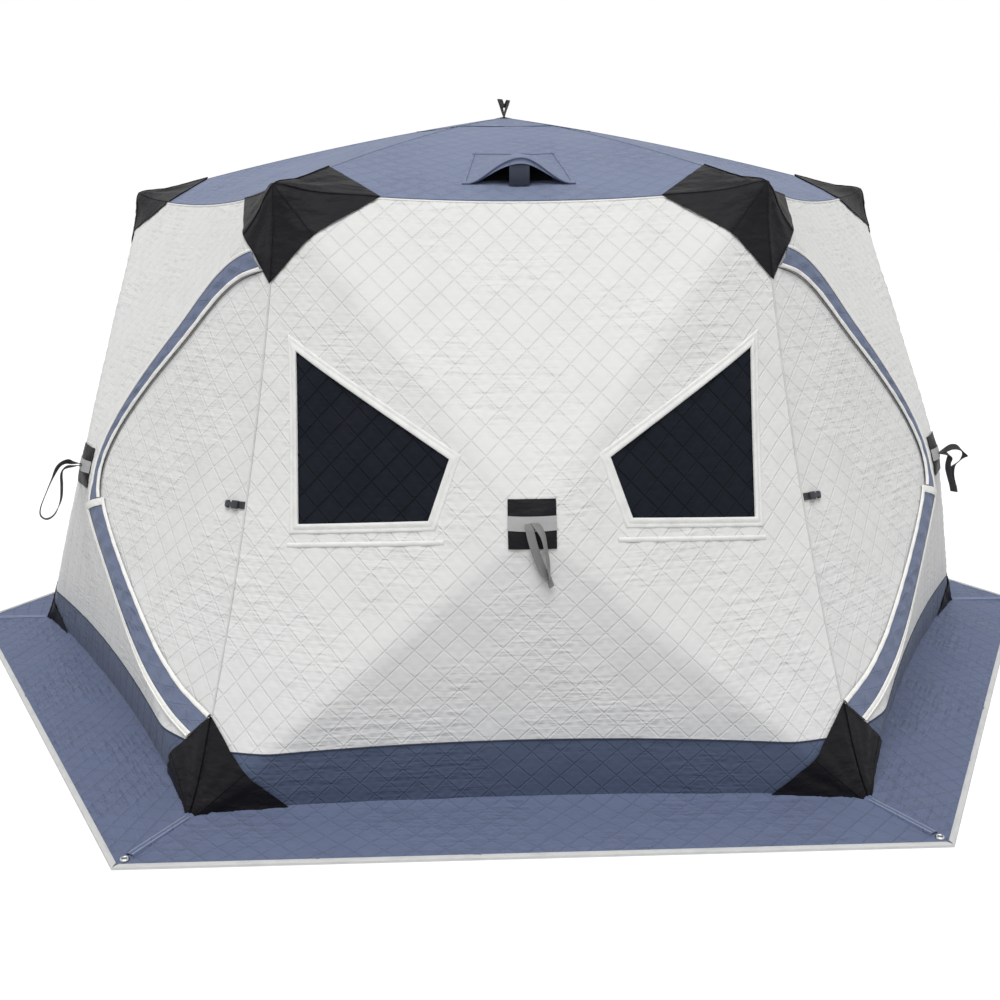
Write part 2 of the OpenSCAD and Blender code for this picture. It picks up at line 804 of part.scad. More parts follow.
module base_band_at(k) { color(FABRIC_BLUE) at_wall(k) base_band(); }
module skirt_at(k) { color(FABRIC_BLUE) at_wall(k) skirt(); }
module roof_panel_at(k) {
    color(FABRIC_BLUE) at_wall(k) difference() {
        roof_panel();
        if (k % 3 == 0) vent_hole();
    }
}

front_wall();
front_right_wall();
back_right_wall();
back_wall();
back_left_wall();
front_left_wall();
base_band_at(0);  // front_base_band
base_band_at(1);  // front_right_base_band
base_band_at(2);  // back_right_base_band
base_band_at(3);  // back_base_band
base_band_at(4);  // back_left_base_band
base_band_at(5);  // front_left_base_band
skirt_at(0);  // front_skirt
skirt_at(1);  // front_right_skirt
skirt_at(2);  // back_right_skirt
skirt_at(3);  // back_skirt
skirt_at(4);  // back_left_skirt
skirt_at(5);  // front_left_skirt
roof_panel_at(0);  // front_roof_panel
roof_panel_at(1);  // front_right_roof_panel
roof_panel_at(2);  // back_right_roof_panel
roof_panel_at(3);  // back_roof_panel
roof_panel_at(4);  // back_left_roof_panel
roof_panel_at(5);  // front_left_roof_panel
eave_corner_caps();
ground_corner_caps();
hub_patches();
window_covers();
left_door_panel();
right_door_panel();
left_door_lower_flap();
right_door_lower_flap();
left_door_buckle();
right_door_buckle();
door_upper_flaps();
door_hinge_seams();
vent_hoods();
vent_props();
wall_pull_straps();
peak_pull_strap();
skirt_eyelets();
wall_poles();
roof_poles();
pole_hubs();
corner_sockets();
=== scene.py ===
"""Looks of the six-sided ice fishing hut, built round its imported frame."""
import math

import bpy
import numpy as np
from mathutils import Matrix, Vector
from mathutils.geometry import delaunay_2d_cdt


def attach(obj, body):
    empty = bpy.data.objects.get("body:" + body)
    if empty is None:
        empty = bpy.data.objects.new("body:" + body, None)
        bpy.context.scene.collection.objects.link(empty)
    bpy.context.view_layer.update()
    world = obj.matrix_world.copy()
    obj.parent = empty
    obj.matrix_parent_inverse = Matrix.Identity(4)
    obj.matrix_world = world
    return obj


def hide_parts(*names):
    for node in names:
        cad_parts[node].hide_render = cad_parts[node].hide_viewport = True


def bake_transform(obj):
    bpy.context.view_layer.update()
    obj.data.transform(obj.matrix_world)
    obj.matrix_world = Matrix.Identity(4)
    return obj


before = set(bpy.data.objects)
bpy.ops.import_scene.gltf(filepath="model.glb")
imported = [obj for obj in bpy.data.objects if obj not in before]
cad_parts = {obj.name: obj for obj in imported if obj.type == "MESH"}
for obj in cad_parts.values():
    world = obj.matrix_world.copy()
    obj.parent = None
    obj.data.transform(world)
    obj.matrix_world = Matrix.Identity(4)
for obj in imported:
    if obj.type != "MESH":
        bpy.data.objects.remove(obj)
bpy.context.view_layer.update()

# ---- Sizes, in metres, as the frame has them ----

BASE_R, BASE_PULL = 1.905, 0.040
EAVE_R, EAVE_Z = 1.430, 1.735
EAVE_SAG, EAVE_PULL = 0.040, 0.020
PEAK_Z = 2.035
HUB_R, HUB_Z = 1.685, 0.835
SKIN = 0.006
BAND_H = 0.175
SKIRT_W = 0.255
CAP_RIDGE, CAP_EAVE, CAP_POLE, CAP_SEAM = 0.265, 0.290, 0.180, 0.280
FOOT_SEAM, FOOT_POLE, FOOT_BASE = 0.275, 0.200, 0.265
PATCH_W = 0.130
WINDOW = [(0.652, 0.800), (0.281, 0.832), (0.222, 0.997), (0.665, 1.274)]
ZIP_GAP = 0.005
FLAP_MEET_DROP = 0.090
VENT_W, VENT_BACK_W, VENT_H, VENT_LEN, VENT_UP = 0.350, 0.268, 0.085, 0.350, 0.123
VENT_HOLE_W, VENT_HOLE_LEN, VENT_HOLE_UP = 0.217, 0.175, 0.042
EYELET_INSET = 0.045

# How the taut cloth differs from flat facets
SEAM_BOW = 0.024      # corner seams pulled in between their caps
SEAM_PULL = 0.020     # the front and back walls pull their corner seams over
POLE_BOW = 0.006      # poles bowed out
RIDGE_SOFT = 0.015    # softness of the ridges over the poles
QUILT = 0.057         # distance between two stitched lines
STEP = QUILT / 3
PUFF = 0.0026         # height of a quilted diamond over its stitched lines
DIAMOND_ROUND = 0.35  # the lower, the flatter a diamond is on top
RIPPLE = 0.16         # length of the cloth's slow waves
EDGE_FADE = 0.022     # from an edge of cloth to where its relief is full
SHARP_EDGE = 0.13     # from a wall's edge to where its ridges are soft
PULL_REACH = 0.13     # from a corner seam, how far its pull is felt

PANELS = ["front", "front_right", "back_right", "back", "back_left", "front_left"]

COS30 = math.cos(math.radians(30))
PEAK = np.array([0, 0, PEAK_Z])
HUB = np.array([0, -HUB_R, HUB_Z])


def corner(radius, side, z):
    return np.array([side * radius / 2, -radius * COS30, z])


EAVE = {s: corner(EAVE_R, s, EAVE_Z) for s in (-1, 1)}
GROUND = {s: corner(BASE_R, s, 0) for s in (-1, 1)}
EAVE_BOW = np.array([0, EAVE_PULL, -EAVE_SAG])
GROUND_BOW = np.array([0, BASE_PULL, 0])
RIDGE_BOW = np.array([0, 0, 0.024])


def unit(v):
    v = np.asarray(v, float)
    return v / np.linalg.norm(v)


def smooth(x):
    x = np.clip(x, 0, 1)
    return x * x * (3 - 2 * x)


# ---- The cloth's surfaces. Each maps flat points to the taut cloth ----


def seam_bow(side):
    return SEAM_BOW * np.array([-side / 2, COS30, 0])


SECTORS = [  # outer corners of each sector round the hub, and the bow of the edge between
    (EAVE[-1], EAVE[1], EAVE_BOW),
    (GROUND[1], GROUND[-1], GROUND_BOW),
    (EAVE[1], GROUND[1], seam_bow(1)),
    (GROUND[-1], EAVE[-1], seam_bow(-1)),
]


def wall_raw(q):
    """Wall for flat points q = (x, z), with sharp ridges over the poles."""
    out, best = np.zeros((len(q), 3)), np.full(len(q), -1e9)
    for a_end, b_end, bow in SECTORS:
        m = np.array([[a_end[0], b_end[0]], [a_end[2] - HUB_Z, b_end[2] - HUB_Z]])
        a, b = np.linalg.solve(m, (q - [0, HUB_Z]).T)
        h = 1 - a - b
        p = np.outer(h, HUB) + np.outer(a, a_end) + np.outer(b, b_end)
        p += np.outer(4 * a * b, bow) + np.outer(4 * h * (a + b), [0, -POLE_BOW, 0])
        take = np.minimum(a, b) > best
        out[take], best[take] = p[take], np.minimum(a, b)[take]
    return out


GRID_STEP, GRID_LO, GRID_HI = 0.01, np.array([-1.25, -0.35]), np.array([1.25, 2.1])


def soft_grid():
    """The wall on a grid, its ridges softened."""
    xs = np.arange(GRID_LO[0], GRID_HI[0], GRID_STEP)
    zs = np.arange(GRID_LO[1], GRID_HI[1], GRID_STEP)
    x, z = np.meshgrid(xs, zs, indexing="ij")
    grid = wall_raw(np.stack([x.ravel(), z.ravel()], 1)).reshape(len(xs), len(zs), 3)
    reach = math.ceil(3 * RIDGE_SOFT / GRID_STEP)
    kernel = np.exp(-0.5 * (np.arange(-reach, reach + 1) * GRID_STEP / RIDGE_SOFT) ** 2)
    kernel /= kernel.sum()
    for axis in (0, 1):
        grid = np.apply_along_axis(lambda r: np.convolve(r, kernel, "same"), axis, grid)
    return grid


SOFT_GRID = soft_grid()


def from_grid(q):
    at = (q - GRID_LO) / GRID_STEP
    i = np.clip(at.astype(int), 0, np.array(SOFT_GRID.shape[:2]) - 2)
    f = at - i
    g = SOFT_GRID
    low = g[i[:, 0], i[:, 1]] * (1 - f[:, :1]) + g[i[:, 0] + 1, i[:, 1]] * f[:, :1]
    high = g[i[:, 0], i[:, 1] + 1] * (1 - f[:, :1]) + g[i[:, 0] + 1, i[:, 1] + 1] * f[:, :1]
    return low * (1 - f[:, 1:]) + high * f[:, 1:]


def seam_x(z):
    return GROUND[1][0] + (EAVE[1][0] - GROUND[1][0]) * z / EAVE_Z


def wall_at(q):
    """The taut wall: soft ridges inside, exact curves along its edges."""
    q = np.asarray(q, float)
    border = np.minimum(np.minimum(EAVE_Z - q[:, 1], q[:, 1]), seam_x(q[:, 1]) - abs(q[:, 0]))
    w = smooth(border / SHARP_EDGE)[:, None]
    return wall_raw(q) * (1 - w) + from_grid(q) * w


def roof_at(q):
    """The roof panel for flat points q = (x, y), y negative towards the eave."""
    q = np.asarray(q, float)
    both, gap = q[:, 1] / EAVE[1][1], q[:, 0] / EAVE[1][0]
    a, b = (both - gap) / 2, (both + gap) / 2
    h = 1 - both
    p = np.outer(h, PEAK) + np.outer(a, EAVE[-1]) + np.outer(b, EAVE[1])
    return p + np.outer(4 * a * b, EAVE_BOW) + np.outer(4 * h * both, RIDGE_BOW)


def ground_foot(x):
    """Where the front wall meets the ground."""
    return -BASE_R * COS30 + BASE_PULL * (1 - (x / GROUND[1][0]) ** 2)


def ground_at(q):
    """The ground for flat points q = (x, y), rising a little against the wall's foot."""
    q = np.asarray(q, float)
    away = np.clip(ground_foot(q[:, 0]) - q[:, 1], 0, None)
    return np.stack([q[:, 0], q[:, 1], 0.004 + 0.014 * np.exp(-away / 0.03)], 1)


def lifted(surface, q, lift):
    """Points that stand off a surface by lift along its normal."""
    q, h = np.asarray(q, float), 0.002
    across = surface(q + [h, 0]) - surface(q - [h, 0])
    along = surface(q + [0, h]) - surface(q - [0, h])
    n = np.cross(across, along)
    n /= np.linalg.norm(n, axis=1)[:, None]
    return surface(q) + np.broadcast_to(lift, len(q))[:, None] * n


def flat_of(surface, target):
    """Flat points that the surface carries to the target's x and z."""
    target = np.asarray(target, float)
    q = target.copy()
    for _ in range(8):
        q += target - surface(q)[:, [0, 2]]
    return q


# ---- Cutting cloth ----


def resample(path, step, closed=False):
    """The path with points at most step apart, its corners kept."""
    path = [np.asarray(p, float) for p in path]
    if closed:
        path.append(path[0])
    out = []
    for a, b in zip(path, path[1:]):
        n = max(1, math.ceil(np.linalg.norm(b - a) / step - 1e-6))
        out += [a + (b - a) * i / n for i in range(n)]
    return np.array(out if closed else out + [path[-1]])


def spaced(path, n):
    """n points evenly spaced along the path."""
    path = np.asarray(path, float)
    run = np.concatenate([[0], np.cumsum(np.linalg.norm(np.diff(path, axis=0), axis=1))])
    at = np.linspace(0, run[-1], n)
    return np.stack([np.interp(at, run, path[:, i]) for i in range(path.shape[1])], 1)


def curve_through(points, n=60):
    """Smooth curve through points, and anything listed with them."""
    points = np.asarray(points, float)
    k = len(points)
    out = []
    for t in np.linspace(0, k - 1, n):
        i = min(int(t), k - 2)
        f = t - i
        p = [points[max(0, min(k - 1, i + d))] for d in (-1, 0, 1, 2)]
        out.append(0.5 * ((2 * p[1]) + (-p[0] + p[2]) * f + (2 * p[0] - 5 * p[1] + 4 * p[2] - p[3]) * f * f
                          + (-p[0] + 3 * p[1] - 3 * p[2] + p[3]) * f ** 3))
    return np.array(out)


def within(points, loop):
    x, y = points[:, :1], points[:, 1:2]
    a, b = loop, np.roll(loop, -1, axis=0)
    with np.errstate(divide="ignore", invalid="ignore"):
        cross = a[:, 0] + (y - a[:, 1]) * (b[:, 0] - a[:, 0]) / (b[:, 1] - a[:, 1])
    return (((a[:, 1] > y) != (b[:, 1] > y)) & (x < cross)).sum(1) % 2 == 1


def edge_distance(points, loops):
    far = np.full(len(points), 1e9)
    for loop in loops:
        for a, b in zip(loop, np.roll(loop, -1, axis=0)):
            d = b - a
            t = np.clip(((points - a) @ d) / (d @ d), 0, 1)
            far = np.minimum(far, np.linalg.norm(points - a - t[:, None] * d, axis=1))
    return far


def cut(outline, holes=(), step=STEP):
    """Flat cloth: points on the stitched lines' lattice, triangles, distance to its edge."""
    loops = [resample(loop, step, closed=True) for loop in (outline, *holes)]
    u = np.stack([loops[0].sum(1), loops[0][:, 0] - loops[0][:, 1]], 1) / math.sqrt(2)
    lo, hi = np.ceil(u.min(0) / step), np.floor(u.max(0) / step)
    a, b = np.meshgrid(np.arange(lo[0], hi[0] + 1), np.arange(lo[1], hi[1] + 1))
    grid = np.stack([a.ravel() + b.ravel(), a.ravel() - b.ravel()], 1) * step / math.sqrt(2)
    keep = within(grid, loops[0])
    for hole in loops[1:]:
        keep &= ~within(grid, hole)
    grid = grid[keep]
    grid = grid[edge_distance(grid, loops) > 0.4 * step]
    points, edges, start = [], [], 0
    for loop in loops:
        n = len(loop)
        edges += [(start + i, start + (i + 1) % n) for i in range(n)]
        points.append(loop)
        start += n
    points = np.concatenate(points + [grid])
    found = delaunay_2d_cdt([Vector(p) for p in points], edges, [], 1, 1e-7)
    flat = np.array([(v.x, v.y) for v in found[0]])
    tris = np.array([f for f in found[2] if len(f) == 3])
    middle = flat[tris].mean(1)
    keep = within(middle, loops[0])
    for hole in loops[1:]:
        keep &= ~within(middle, hole)
    tris = tris[keep]
    e1, e2 = flat[tris[:, 1]] - flat[tris[:, 0]], flat[tris[:, 2]] - flat[tris[:, 0]]
    size = e1[:, 0] * e2[:, 1] - e1[:, 1] * e2[:, 0]
    tris, size = tris[abs(size) > 1e-12], size[abs(size) > 1e-12]
    tris[size < 0] = tris[size < 0][:, ::-1]
    return flat, tris, edge_distance(flat, loops)


def area_of(points, tris):
    a, b, c = (points[tris[:, i]] for i in range(3))
    return float(np.linalg.norm(np.cross(b - a, c - a), axis=1).sum() / 2)


def quilted(flat):
    """Height of a quilted diamond, 0 on its stitched lines and 1 in its middle."""
    u = flat.sum(1) / math.sqrt(2) / QUILT
    v = (flat[:, 0] - flat[:, 1]) / math.sqrt(2) / QUILT
    return (abs(np.sin(np.pi * u)) * abs(np.sin(np.pi * v))) ** DIAMOND_ROUND


RIPPLES = np.random.default_rng(7).uniform(-1, 1, (14, 4))


def ripple(flat):
    """Slow unevenness of cloth, about -1 to 1."""
    out = np.zeros(len(flat))
    for a, b, c, d in RIPPLES:
        wave = 2 * math.pi / RIPPLE * (0.6 + 0.7 * abs(c))
        turn = math.pi * a
        x = flat[:, 0] * math.cos(turn) + flat[:, 1] * math.sin(turn)
        out += np.sin(wave * x + 9 * b) * (0.5 + abs(d))
    return out / 5


def rim_of(tris):
    """Edges used once, in the direction that their triangle has them."""
    edges = np.concatenate([tris[:, [0, 1]], tris[:, [1, 2]], tris[:, [2, 0]]])
    key = np.sort(edges, axis=1)
    _, index, count = np.unique(key, axis=0, return_index=True, return_counts=True)
    return edges[index[count == 1]]


def layered(outer, inner, tris, flat):
    """A closed two-layer sheet."""
    n, rim = len(outer), rim_of(tris)
    back = tris[:, ::-1] + n
    sides = np.concatenate([
        np.stack([rim[:, 1], rim[:, 0], rim[:, 0] + n], 1),
        np.stack([rim[:, 1], rim[:, 0] + n, rim[:, 1] + n], 1),
    ])
    return {
        "points": np.concatenate([outer, inner]),
        "faces": np.concatenate([tris, back, sides]),
        "flat": np.concatenate([flat, flat]),
        "area": area_of(outer, tris),
        "spread": flat.max(0) - flat.min(0),
    }


def cloth(surface, outline, holes=(), lift=0.0, puff=PUFF, uneven=0.0008, thick=SKIN):
    """Quilted or plain cloth cut to an outline and laid on a surface."""
    flat, tris, edge = cut(outline, holes)
    fade = smooth(edge / EDGE_FADE)
    rise = lift + fade * (puff * (quilted(flat) - 0.5) + uneven * ripple(flat))
    outer = lifted(surface, flat, rise)
    return layered(outer, lifted(surface, flat, np.minimum(rise, lift) - thick), tris, flat)


def rows_cloth(rows, thick):
    """Cloth from rows of points, n rows of m points, seen from outside left to right, upwards."""
    rows = np.asarray(rows, float)
    n, m = rows.shape[:2]
    i = np.arange(n * m).reshape(n, m)
    a, b, c, d = i[:-1, :-1].ravel(), i[:-1, 1:].ravel(), i[1:, 1:].ravel(), i[1:, :-1].ravel()
    tris = np.concatenate([np.stack([a, b, c], 1), np.stack([a, c, d], 1)])
    points = rows.reshape(-1, 3)
    across = np.linalg.norm(np.diff(rows, axis=1), axis=2).mean(0)
    along = np.linalg.norm(np.diff(rows, axis=0), axis=2).mean(1)
    x = np.concatenate([[0], np.cumsum(across)])
    y = np.concatenate([[0], np.cumsum(along)])
    flat = np.stack(np.meshgrid(x, y), 2).reshape(-1, 2)
    normal = point_normals(points, tris)
    return layered(points, points - thick * normal, tris, flat)


def point_normals(points, tris):
    a, b, c = (points[tris[:, i]] for i in range(3))
    face = np.cross(b - a, c - a)
    out = np.zeros_like(points)
    for i in range(3):
        np.add.at(out, tris[:, i], face)
    length = np.linalg.norm(out, axis=1)[:, None]
    return out / np.maximum(length, 1e-12)


def joined(parts):
    """Several sheets as one."""
    start, points, faces, flats = 0, [], [], []
    for p in parts:
        points.append(p["points"])
        faces.append(p["faces"] + start)
        flats.append(p["flat"])
        start += len(p["points"])
    return {
        "points": np.concatenate(points), "faces": np.concatenate(faces),
        "flat": np.concatenate(flats), "area": sum(p["area"] for p in parts),
        "spread": np.max([p["spread"] for p in parts], axis=0),
    }


def tube(path, radius, sides=8):
    """Round piping along a path, closed at both ends."""
    path = np.asarray(path, float)
    n = len(path)
    ahead = np.gradient(path, axis=0)
    ahead /= np.linalg.norm(ahead, axis=1)[:, None]
    side = np.cross(ahead[0], [0, 0, 1] if abs(ahead[0][2]) < 0.9 else [1, 0, 0])
    rings = []
    for i in range(n):
        side = unit(side - (side @ ahead[i]) * ahead[i])
        up = np.cross(ahead[i], side)
        t = np.linspace(0, 2 * np.pi, sides, endpoint=False)[:, None]
        rings.append(path[i] + radius * (np.cos(t) * side + np.sin(t) * up))
    points = np.concatenate([*rings, path[:1], path[-1:]])
    faces = []
    for i in range(n - 1):
        for k in range(sides):
            a, b = i * sides + k, i * sides + (k + 1) % sides
            c, d = b + sides, a + sides
            faces += [(a, b, c), (a, c, d)]
    last = (n - 1) * sides
    for k in range(sides):
        faces += [(n * sides, (k + 1) % sides, k)]
        faces += [(n * sides + 1, last + k, last + (k + 1) % sides)]
    run = np.concatenate([[0], np.cumsum(np.linalg.norm(np.diff(path, axis=0), axis=1))])
    length = run[-1]
    flat = np.stack([np.tile(np.arange(sides), n) * radius, np.repeat(run, sides)], 1)
    return {"points": points, "faces": np.array(faces),
            "flat": np.concatenate([flat, [[0, 0], [0, length]]]),
            "area": length * 2 * math.pi * radius, "spread": np.array([radius, length])}


def turned(part, k):
    """The part carried from the front wall to wall k."""
    a = math.radians(60 * k)
    m = np.array([[math.cos(a), -math.sin(a), 0], [math.sin(a), math.cos(a), 0], [0, 0, 1]])
    return {**part, "points": part["points"] @ m.T}


def mirrored(part):
    """The part on the other side of the hut."""
    return {**part, "points": part["points"] * [-1, 1, 1], "faces": part["faces"][:, ::-1]}


def all_round(part):
    return joined([turned(part, k) for k in range(6)])


def front_and_back(part):
    return joined([part, turned(part, 3)])


def pulled(points):
    """Points shifted with the corner seams that the front and back walls pull over."""
    out = points.copy()
    t = np.clip(points[:, 2] / EAVE_Z, 0, 1)
    for sx in (-1, 1):
        for sy in (-1, 1):
            seam = np.outer(BASE_R + (EAVE_R - BASE_R) * t, [sx / 2, sy * COS30])
            far = np.linalg.norm(points[:, :2] - seam, axis=1)
            out[:, 0] -= sx * SEAM_PULL * 4 * t * (1 - t) * np.exp(-(far / PULL_REACH) ** 2)
    return out


def make(name, part, material, body="tent", crease=50):
    """A Blender piece from a part, riding on a body."""
    mesh = bpy.data.meshes.new(name)
    points = pulled(part["points"])
    points[:, 2] = np.maximum(points[:, 2], 0)
    mesh.from_pydata(points.tolist(), [], part["faces"].tolist())
    layer = mesh.uv_layers.new(name="pattern")
    corners = np.zeros(len(mesh.loops), np.int32)
    mesh.loops.foreach_get("vertex_index", corners)
    layer.data.foreach_set("uv", part["flat"][corners].astype(np.float32).ravel())
    mesh.materials.append(material)
    mesh.shade_smooth()
    mesh.set_sharp_from_angle(angle=math.radians(crease))
    mesh.validate()
    obj = bpy.data.objects.new(name, mesh)
    bpy.context.scene.collection.objects.link(obj)
    if body:
        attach(obj, body)
    return obj


def declare(part):
    """Works out the width and length of the piece's flat cut, and does nothing with them."""
    width, length = (float(v) for v in part["spread"])
    length = max(length, part["area"] / width)


# ---- Materials ----

def srgb(r, g, b):
    """A colour as written on a screen, 0 to 255, as the shader takes it."""
    c = np.array([r, g, b]) / 255
    return (*np.where(c <= 0.04045, c / 12.92, ((c + 0.055) / 1.055) ** 2.4).tolist(), 1.0)


class Net:
    """A material's nodes."""

    def __init__(self, name, **shader):
        self.mat = bpy.data.materials.new(name)
        self.mat.use_nodes = True
        self.nodes, self.links = self.mat.node_tree.nodes, self.mat.node_tree.links
        self.shader = self.nodes["Principled BSDF"]
        for key, value in shader.items():
            self.shader.inputs[key.replace("_", " ")].default_value = value

    def node(self, kind, inputs=(), **props):
        n = self.nodes.new(kind)
        for key, value in props.items():
            setattr(n, key, value)
        for i, value in enumerate(inputs):
            if isinstance(value, bpy.types.NodeSocket):
                self.links.new(value, n.inputs[i])
            elif value is not None:
                n.inputs[i].default_value = value
        return n

    def math(self, operation, *values):
        return self.node("ShaderNodeMath", values, operation=operation).outputs[0]

    def pattern(self, x=1.0, y=1.0):
        """Pattern coordinates in metres, scaled."""
        uv = self.node("ShaderNodeUVMap", uv_map="pattern").outputs[0]
        return self.node("ShaderNodeVectorMath", (uv, (x, y, 1)), operation="MULTIPLY").outputs[0]

    def noise(self, vector, scale, detail=2.0, rough=0.5):
        n = self.node("ShaderNodeTexNoise")
        self.links.new(vector, n.inputs["Vector"])
        for key, value in (("Scale", scale), ("Detail", detail), ("Roughness", rough)):
            n.inputs[key].default_value = value
        return n.outputs[0]

    def mapped(self, value, lo, hi, to_lo, to_hi, kind="SMOOTHSTEP"):
        n = self.node("ShaderNodeMapRange", (value, lo, hi, to_lo, to_hi), interpolation_type=kind)
        return n.outputs[0]

    def tinted(self, tone, colour):
        """The colour, darker where the tone is low."""
        n = self.node("ShaderNodeMix", data_type="RGBA")
        self.links.new(tone, n.inputs[0])
        n.inputs[6].default_value, n.inputs[7].default_value = (0, 0, 0, 1), colour
        return n.outputs[2]

    def evenly(self, noise, to_lo, to_hi):
        """A noise carried evenly to two new limits."""
        return self.mapped(noise, 0.3, 0.7, to_lo, to_hi, "LINEAR")

    def axes(self):
        """The pattern's coordinates apart, in metres."""
        return self.node("ShaderNodeSeparateXYZ", (self.pattern(),)).outputs

    def wave(self, value, length):
        """A sine wave, -1 to 1."""
        return self.math("SINE", self.math("MULTIPLY", value, 2 * math.pi / length))

    def bump(self, height, distance, below=None):
        n = self.node("ShaderNodeBump")
        n.inputs["Distance"].default_value = distance
        self.links.new(height, n.inputs["Height"])
        if below:
            self.links.new(below, n.inputs["Normal"])
        return n.outputs[0]

    def done(self, colour=None, normal=None, rough=None):
        for socket, key in ((colour, "Base Color"), (normal, "Normal"), (rough, "Roughness")):
            if socket is not None:
                self.links.new(socket, self.shader.inputs[key])
        return self.mat


FABRIC_SHINE = 0.12


def quilted_fabric(name, colour, groove=0.0016, pucker=0.0009, groove_shade=0.90, rough=0.62, sheen=0.08,
                   thread=0.35):
    """Quilted cloth: stitched diamonds with painted shade along the stitching, fine puckers along the
    stitching and a weave.
    """
    net = Net(name, Roughness=rough, Sheen_Weight=sheen, Specular_IOR_Level=FABRIC_SHINE)
    xyz = net.axes()
    scale = 1 / math.sqrt(2) / QUILT
    lines = []
    for kind in ("ADD", "SUBTRACT"):
        turns = net.math("MULTIPLY", net.math(kind, xyz[0], xyz[1]), scale)
        lines.append(net.math("PINGPONG", turns, 0.5))
    line = net.math("MULTIPLY", net.math("MINIMUM", *lines), QUILT)
    depth = net.mapped(line, 0.0, 0.0038, 0.0, 1.0)
    stitch = net.wave(xyz[0], 0.0045)
    knots = net.math("MULTIPLY", net.mapped(line, 0.0004, 0.0012, 1.0, 0.0),
                     net.mapped(stitch, -0.2, 0.4, 0.0, 1.0))
    near = net.mapped(line, 0.0, 0.020, 1.0, 0.45)
    folds = net.math("MULTIPLY", net.noise(net.pattern(10, 66), 1.0, 2.5, 0.5), near)
    slow = net.noise(net.pattern(), 9.0, 2.0)
    patch = net.mapped(net.noise(net.pattern(), 3.1, 1.0), 0.36, 0.62, 0.35, 1.5)
    folds = net.math("MULTIPLY", folds, patch)
    weave = net.noise(net.pattern(700, 900), 1.0, 1.0)
    normal = net.bump(weave, 0.00012)
    normal = net.bump(folds, pucker * 4, normal)
    normal = net.bump(net.math("ADD", depth, net.math("MULTIPLY", knots, thread)), groove, normal)
    # Colour darkened along the stitched lines: painted shade in their grooves.
    tone = net.math("MULTIPLY", net.mapped(depth, 0, 1, groove_shade, 1.0, "LINEAR"),
                    net.evenly(slow, 0.965, 1.02))
    tone = net.math("MULTIPLY", tone, net.evenly(weave, 0.975, 1.02))
    tint = net.tinted(tone, colour)
    return net.done(tint, normal, net.evenly(slow, rough - 0.06, rough + 0.08))


def plain_fabric(name, colour, wrinkle=0.0012, rough=0.6, sheen=0.08, across=18, along=34):
    """Woven cloth with soft wrinkles, with painted shade in the wrinkles' hollows and painted light on their
    tops.
    """
    net = Net(name, Roughness=rough, Sheen_Weight=sheen, Specular_IOR_Level=FABRIC_SHINE)
    folds = net.noise(net.pattern(across, along), 1.0, 3.0, 0.5)
    slow = net.noise(net.pattern(), 7.0, 2.0)
    xyz = net.axes()
    warp = net.wave(xyz[0], 0.0016)
    weft = net.wave(xyz[1], 0.0016)
    weave = net.math("MULTIPLY", warp, weft)
    normal = net.bump(weave, 0.00008)
    normal = net.bump(folds, wrinkle * 4, normal)
    # Colour follows the wrinkles: painted shade in their hollows, painted light on their tops.
    tone = net.math("MULTIPLY", net.evenly(folds, 0.90, 1.06),
                    net.evenly(slow, 0.95, 1.05))
    tint = net.tinted(tone, colour)
    return net.done(tint, normal, net.evenly(slow, rough - 0.06, rough + 0.08))


def webbing_fabric(name, colour):
    """Woven tape with ribs across it."""
    net = Net(name, Roughness=0.55, Sheen_Weight=0.1, Specular_IOR_Level=0.4)
    xyz = net.axes()
    rib = net.wave(xyz[1], 0.0028)
    cross = net.wave(xyz[0], 0.0042)
    weave = net.math("MULTIPLY", rib, cross)
    slow = net.noise(net.pattern(), 30.0, 2.0)
    tone = net.math("MULTIPLY", net.mapped(weave, -1, 1, 0.82, 1.1, "LINEAR"),
                    net.evenly(slow, 0.9, 1.08))
    return net.done(net.tinted(tone, colour), net.bump(weave, 0.0004))


def moulded(name, colour, rough=0.42, metallic=0.0, grain=0.0003, scale=180.0):
    """Moulded plastic, drawn rod or plated metal, in object coordinates."""
    net = Net(name, Roughness=rough, Metallic=metallic, Specular_IOR_Level=0.5)
    place = net.node("ShaderNodeTexCoord").outputs["Object"]
    fine, slow = net.noise(place, scale, 2.0), net.noise(place, 14.0, 2.0)
    tone = net.math("MULTIPLY", net.evenly(fine, 0.93, 1.05),
                    net.evenly(slow, 0.92, 1.06))
    tint = net.tinted(tone, colour)
    return net.done(tint, net.bump(fine, grain), net.mapped(slow, 0.3, 0.7, rough - 0.07, rough + 0.1))


WHITE = quilted_fabric("quilted_white", srgb(228, 228, 227), groove=0.0014, pucker=0.0012, groove_shade=0.985)
BAND = quilted_fabric("quilted_band", srgb(86, 97, 121), groove=0.0016, pucker=0.0012, groove_shade=0.91)
SKIRT = quilted_fabric("quilted_skirt", srgb(100, 110, 137), groove=0.0018, pucker=0.0020, groove_shade=0.93)
ROOF = quilted_fabric("roof_blue", srgb(122, 132, 158), groove=0.0014, pucker=0.0028, groove_shade=0.95)
WINDOW_BLACK = quilted_fabric("window_black", srgb(20, 25, 33), groove=0.0022, groove_shade=0.42, rough=0.72,
                              sheen=0.02, thread=0.0)
FRAME_WHITE = plain_fabric("frame_white", srgb(236, 236, 234), wrinkle=0.0006, across=26, along=26)
PIPING = plain_fabric("piping_white", srgb(249, 248, 244), wrinkle=0.0003, across=60, along=60)
BINDING = plain_fabric("binding_pale", srgb(206, 207, 206), wrinkle=0.0008)
FLAP = quilted_fabric("flap_blue", srgb(112, 122, 147), groove=0.0009, pucker=0.0024, groove_shade=0.9)
SEAM_BLUE = plain_fabric("seam_blue", srgb(150, 160, 182), wrinkle=0.0003)
DARK_EDGE = plain_fabric("dark_edge", srgb(52, 58, 76), wrinkle=0.0003)
SEAM_GREY = plain_fabric("seam_grey", srgb(214, 214, 213), wrinkle=0.0003)
BLACK = plain_fabric("reinforcement_black", srgb(25, 24, 27), wrinkle=0.0034, sheen=0.0, rough=0.5,
                     across=10, along=22)
